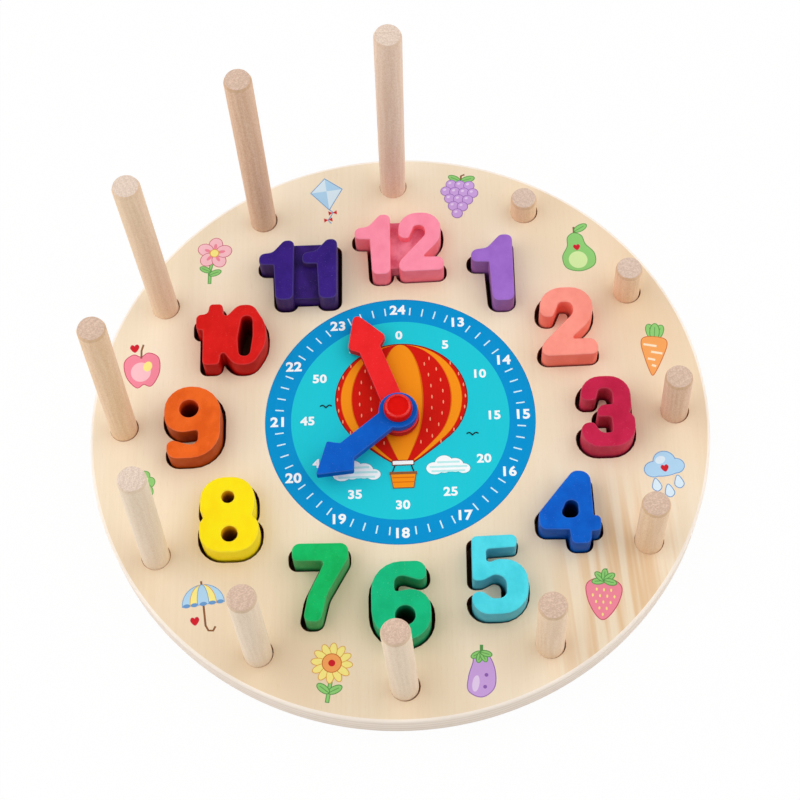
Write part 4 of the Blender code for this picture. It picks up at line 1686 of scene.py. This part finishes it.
    def clover(self) -> None:
        """A green clover."""
        self.edge(Ink.LEAF, ribbon([(0.0, 2.0), (1.0, -5.0), (3.2, -12.0)], 0.9))
        for turn, cosine, sine in spread(4, 45.0, 90.0):
            x, y = 4.4 * cosine, 3.0 + 4.4 * sine
            lobes = [oval(x - side * sine, y + side * cosine, 3.3, 2.6, turn) for side in (-1.9, 1.9)]
            self.edge(Ink.LEAF, *lobes, width=0.3)
            self.fill(Ink.LEAF_PALE, oval(3.8 * cosine, 3.0 + 3.8 * sine, 2.2, 0.9, turn))

    def apple(self) -> None:
        """A rose apple with a yellow cheek."""
        half = [(0.0, 4.6), (3.6, 6.2), (7.8, 3.0), (7.4, -4.6), (3.4, -10.6), (0.0, -9.4)]
        self.edge(Ink.ROSE, both_sides(half))
        self.fill(Ink.ROSE_PALE, oval(-0.8, -3.0, 4.6, 5.0))
        self.fill(Ink.LEMON, oval(2.6, -0.6, 2.0, 2.6, -20.0))
        self.fill(Ink.BARK, ribbon([(0.0, 4.0), (0.4, 8.0), (1.6, 11.0)], 0.9))
        self.heart(-2.6, 9.6, 2.0)

    def blossom(self) -> None:
        """A pink flower with five petals on its stem."""
        self.edge(Ink.LEAF, ribbon([(0.0, 2.0), (-0.8, -5.0), (0.0, -12.0)], 1.0))
        self.leaf(-0.6, -7.6, 28.0, 5.6)
        self.leaf(-0.6, -5.8, 160.0, 5.2)
        for turn, cosine, sine in spread(5, 90.0, 72.0):
            petal = oval(4.6 * cosine, 4.4 + 4.6 * sine, 3.6, 3.1, turn)
            self.edge(Ink.ROSE_PALE, petal, line=Ink.ROSE_DEEP, width=0.3)
            self.fill(Ink.ROSE, oval(3.4 * cosine, 4.4 + 3.4 * sine, 1.8, 0.8, turn))
        self.edge(Ink.LEMON, oval(0.0, 4.4, 1.9, 1.9))

    def kite(self) -> None:
        """A pale blue kite with red bows on its tail."""
        top, foot, left, right, cross = (0.0, 12.4), (0.0, -5.0), (-7.4, 5.4), (7.4, 5.4), (0.0, 5.4)
        self.edge(Ink.SKY, [top, left, foot, right])
        self.fill(Ink.SKY_PALE, [top, left, cross], [cross, foot, right])
        self.fill(Ink.SKY_DEEP, ribbon([foot, (1.6, -7.0), (0.2, -9.2), (-1.4, -11.0), (0.0, -13.0)], 0.5))
        for x, y in ((1.4, -7.2), (-1.2, -10.8)):
            for wide, tall in ((2.0, 1.2), (-2.0, -1.2)):
                self.fill(Ink.BERRY, [(x, y), (x - wide, y + tall), (x - wide, y - tall)])

    def build(self) -> None:
        """Print all twelve pictures, clockwise from the one after twelve o'clock."""
        pictures = (self.grapes, self.pear, self.carrot, self.cloud, self.strawberry, self.aubergine,
                    self.sunflower, self.umbrella, self.clover, self.apple, self.blossom, self.kite)
        for index, picture in enumerate(pictures):
            turn = math.radians(self.first_turn + 30.0 * index)
            picture()
            self.lay(f"rim_{picture.__name__}", self.radius * math.sin(turn), self.radius * math.cos(turn),
                     self.tilt if index % 2 else -self.tilt)


def from_front(turn: float, rise: float) -> Vector:
    """Direction from the board, by its degrees to the right of the front and above the table."""
    turn, rise = math.radians(turn), math.radians(rise)
    return Vector((math.sin(turn) * math.cos(rise), -math.cos(turn) * math.cos(rise), math.sin(rise)))


@dataclass(frozen=True)
class Softbox:
    """A round softbox aimed at the board, by its turn from the front and its height in degrees."""

    name: str
    turn: float
    elevation: float
    distance: float
    size: float
    watts: float

    def hang(self) -> None:
        """Hang the softbox."""
        place = from_front(self.turn, self.elevation)
        lamp = bpy.data.lights.new(self.name, "AREA")
        lamp.shape = "DISK"
        lamp.size = self.size
        lamp.energy = self.watts
        hung = place_in_scene(self.name, lamp)
        hung.location = place * self.distance
        hung.rotation_euler = (-place).to_track_quat("-Z", "Y").to_euler()


@dataclass
class Studio:
    """White table, soft light from both sides and the camera. Sizes here are metres, except for the lens."""

    azimuth: float = 2.249
    elevation: float = 64.042
    roll: float = -3.941
    distance: float = 0.80026
    focal_px: float = 1759.507
    image_px: float = 800.0
    sensor_mm: float = 36.0
    target: Triple = (0.000748, 0.009789, 0.014)
    sky_bright: float = 0.74
    sky_dim: float = 0.12
    dim_middle: Triple = (0.0, -0.3, 0.95)
    dim_between: Span = (0.4, 0.92)
    softboxes: tuple[Softbox, ...] = (Softbox("softbox_left", -84.0, 48.0, 1.15, 1.6, 8.2),
                                      Softbox("softbox_right", 94.0, 48.0, 1.15, 1.6, 7.2))
    floor_size: float = 12.0
    floor_drop: float = 0.00002

    def build_camera(self) -> None:
        """Place the camera at the photograph's view."""
        back = from_front(self.azimuth, self.elevation)
        turn, roll = math.radians(self.azimuth), math.radians(self.roll)
        right = Vector((math.cos(turn), math.sin(turn), 0.0))
        up = back.cross(right)
        across = right * math.cos(roll) + up * math.sin(roll)
        upward = up * math.cos(roll) - right * math.sin(roll)
        data = bpy.data.cameras.new("photo_view")
        data.sensor_width = self.sensor_mm
        data.lens = self.focal_px / self.image_px * data.sensor_width
        camera = place_in_scene("photo_view", data)
        place = Matrix((across, upward, back)).transposed().to_4x4()
        place.translation = Vector(self.target) + back * self.distance
        camera.matrix_world = place
        bpy.context.scene.camera = camera

    def build_floor(self) -> None:
        """Lay the table just under the board."""
        work = bmesh.new()
        bmesh.ops.create_grid(work, x_segments=1, y_segments=1, size=self.floor_size / 2.0)
        floor = as_object("table", work, [WhiteTable()])
        floor.location.z = -self.floor_drop

    def build_light(self) -> None:
        """Hang the softboxes in a white room, dimmer round the camera's side; the camera sees it white."""
        for softbox in self.softboxes:
            softbox.hang()
        world = bpy.data.worlds.new("white_room")
        bpy.context.scene.world = world
        world.use_nodes = True
        tree = world.node_tree
        ways = add_node(tree, "ShaderNodeTexCoord", {})
        middle = Vector(self.dim_middle).normalized()
        near = add_node(tree, "ShaderNodeVectorMath", {
            "operation": "DOT_PRODUCT", 0: ways.outputs["Generated"], 1: middle})
        start, end = self.dim_between
        level = add_node(tree, "ShaderNodeMapRange", {
            "interpolation_type": "SMOOTHSTEP", "From Min": start, "From Max": end,
            "To Min": self.sky_bright, "To Max": self.sky_dim, "Value": near.outputs["Value"]})
        shown = add_node(tree, "ShaderNodeMix", {
            "data_type": "FLOAT", 0: seen_directly(tree), 2: level.outputs[0], 3: 1.0})
        set_up(tree.nodes["Background"], {"Color": linear(WHITE), "Strength": shown.outputs[0]})

    def build(self) -> None:
        """Build the stage."""
        bpy.context.scene.view_settings.view_transform = "Standard"
        self.build_camera()
        self.build_floor()
        self.build_light()


def main() -> None:
    """Build the stage and every piece of the clock puzzle."""
    logging.basicConfig(level=logging.INFO, format="%(message)s")
    Studio().build()
    BoardSheets().build()
    Dial().build()
    RimPictures().build()
    LiftOutNumbers().build()
    CountingPosts().build()
    ClockHands().build()
    HubRivet().build()


if __name__ == "__main__":
    main()
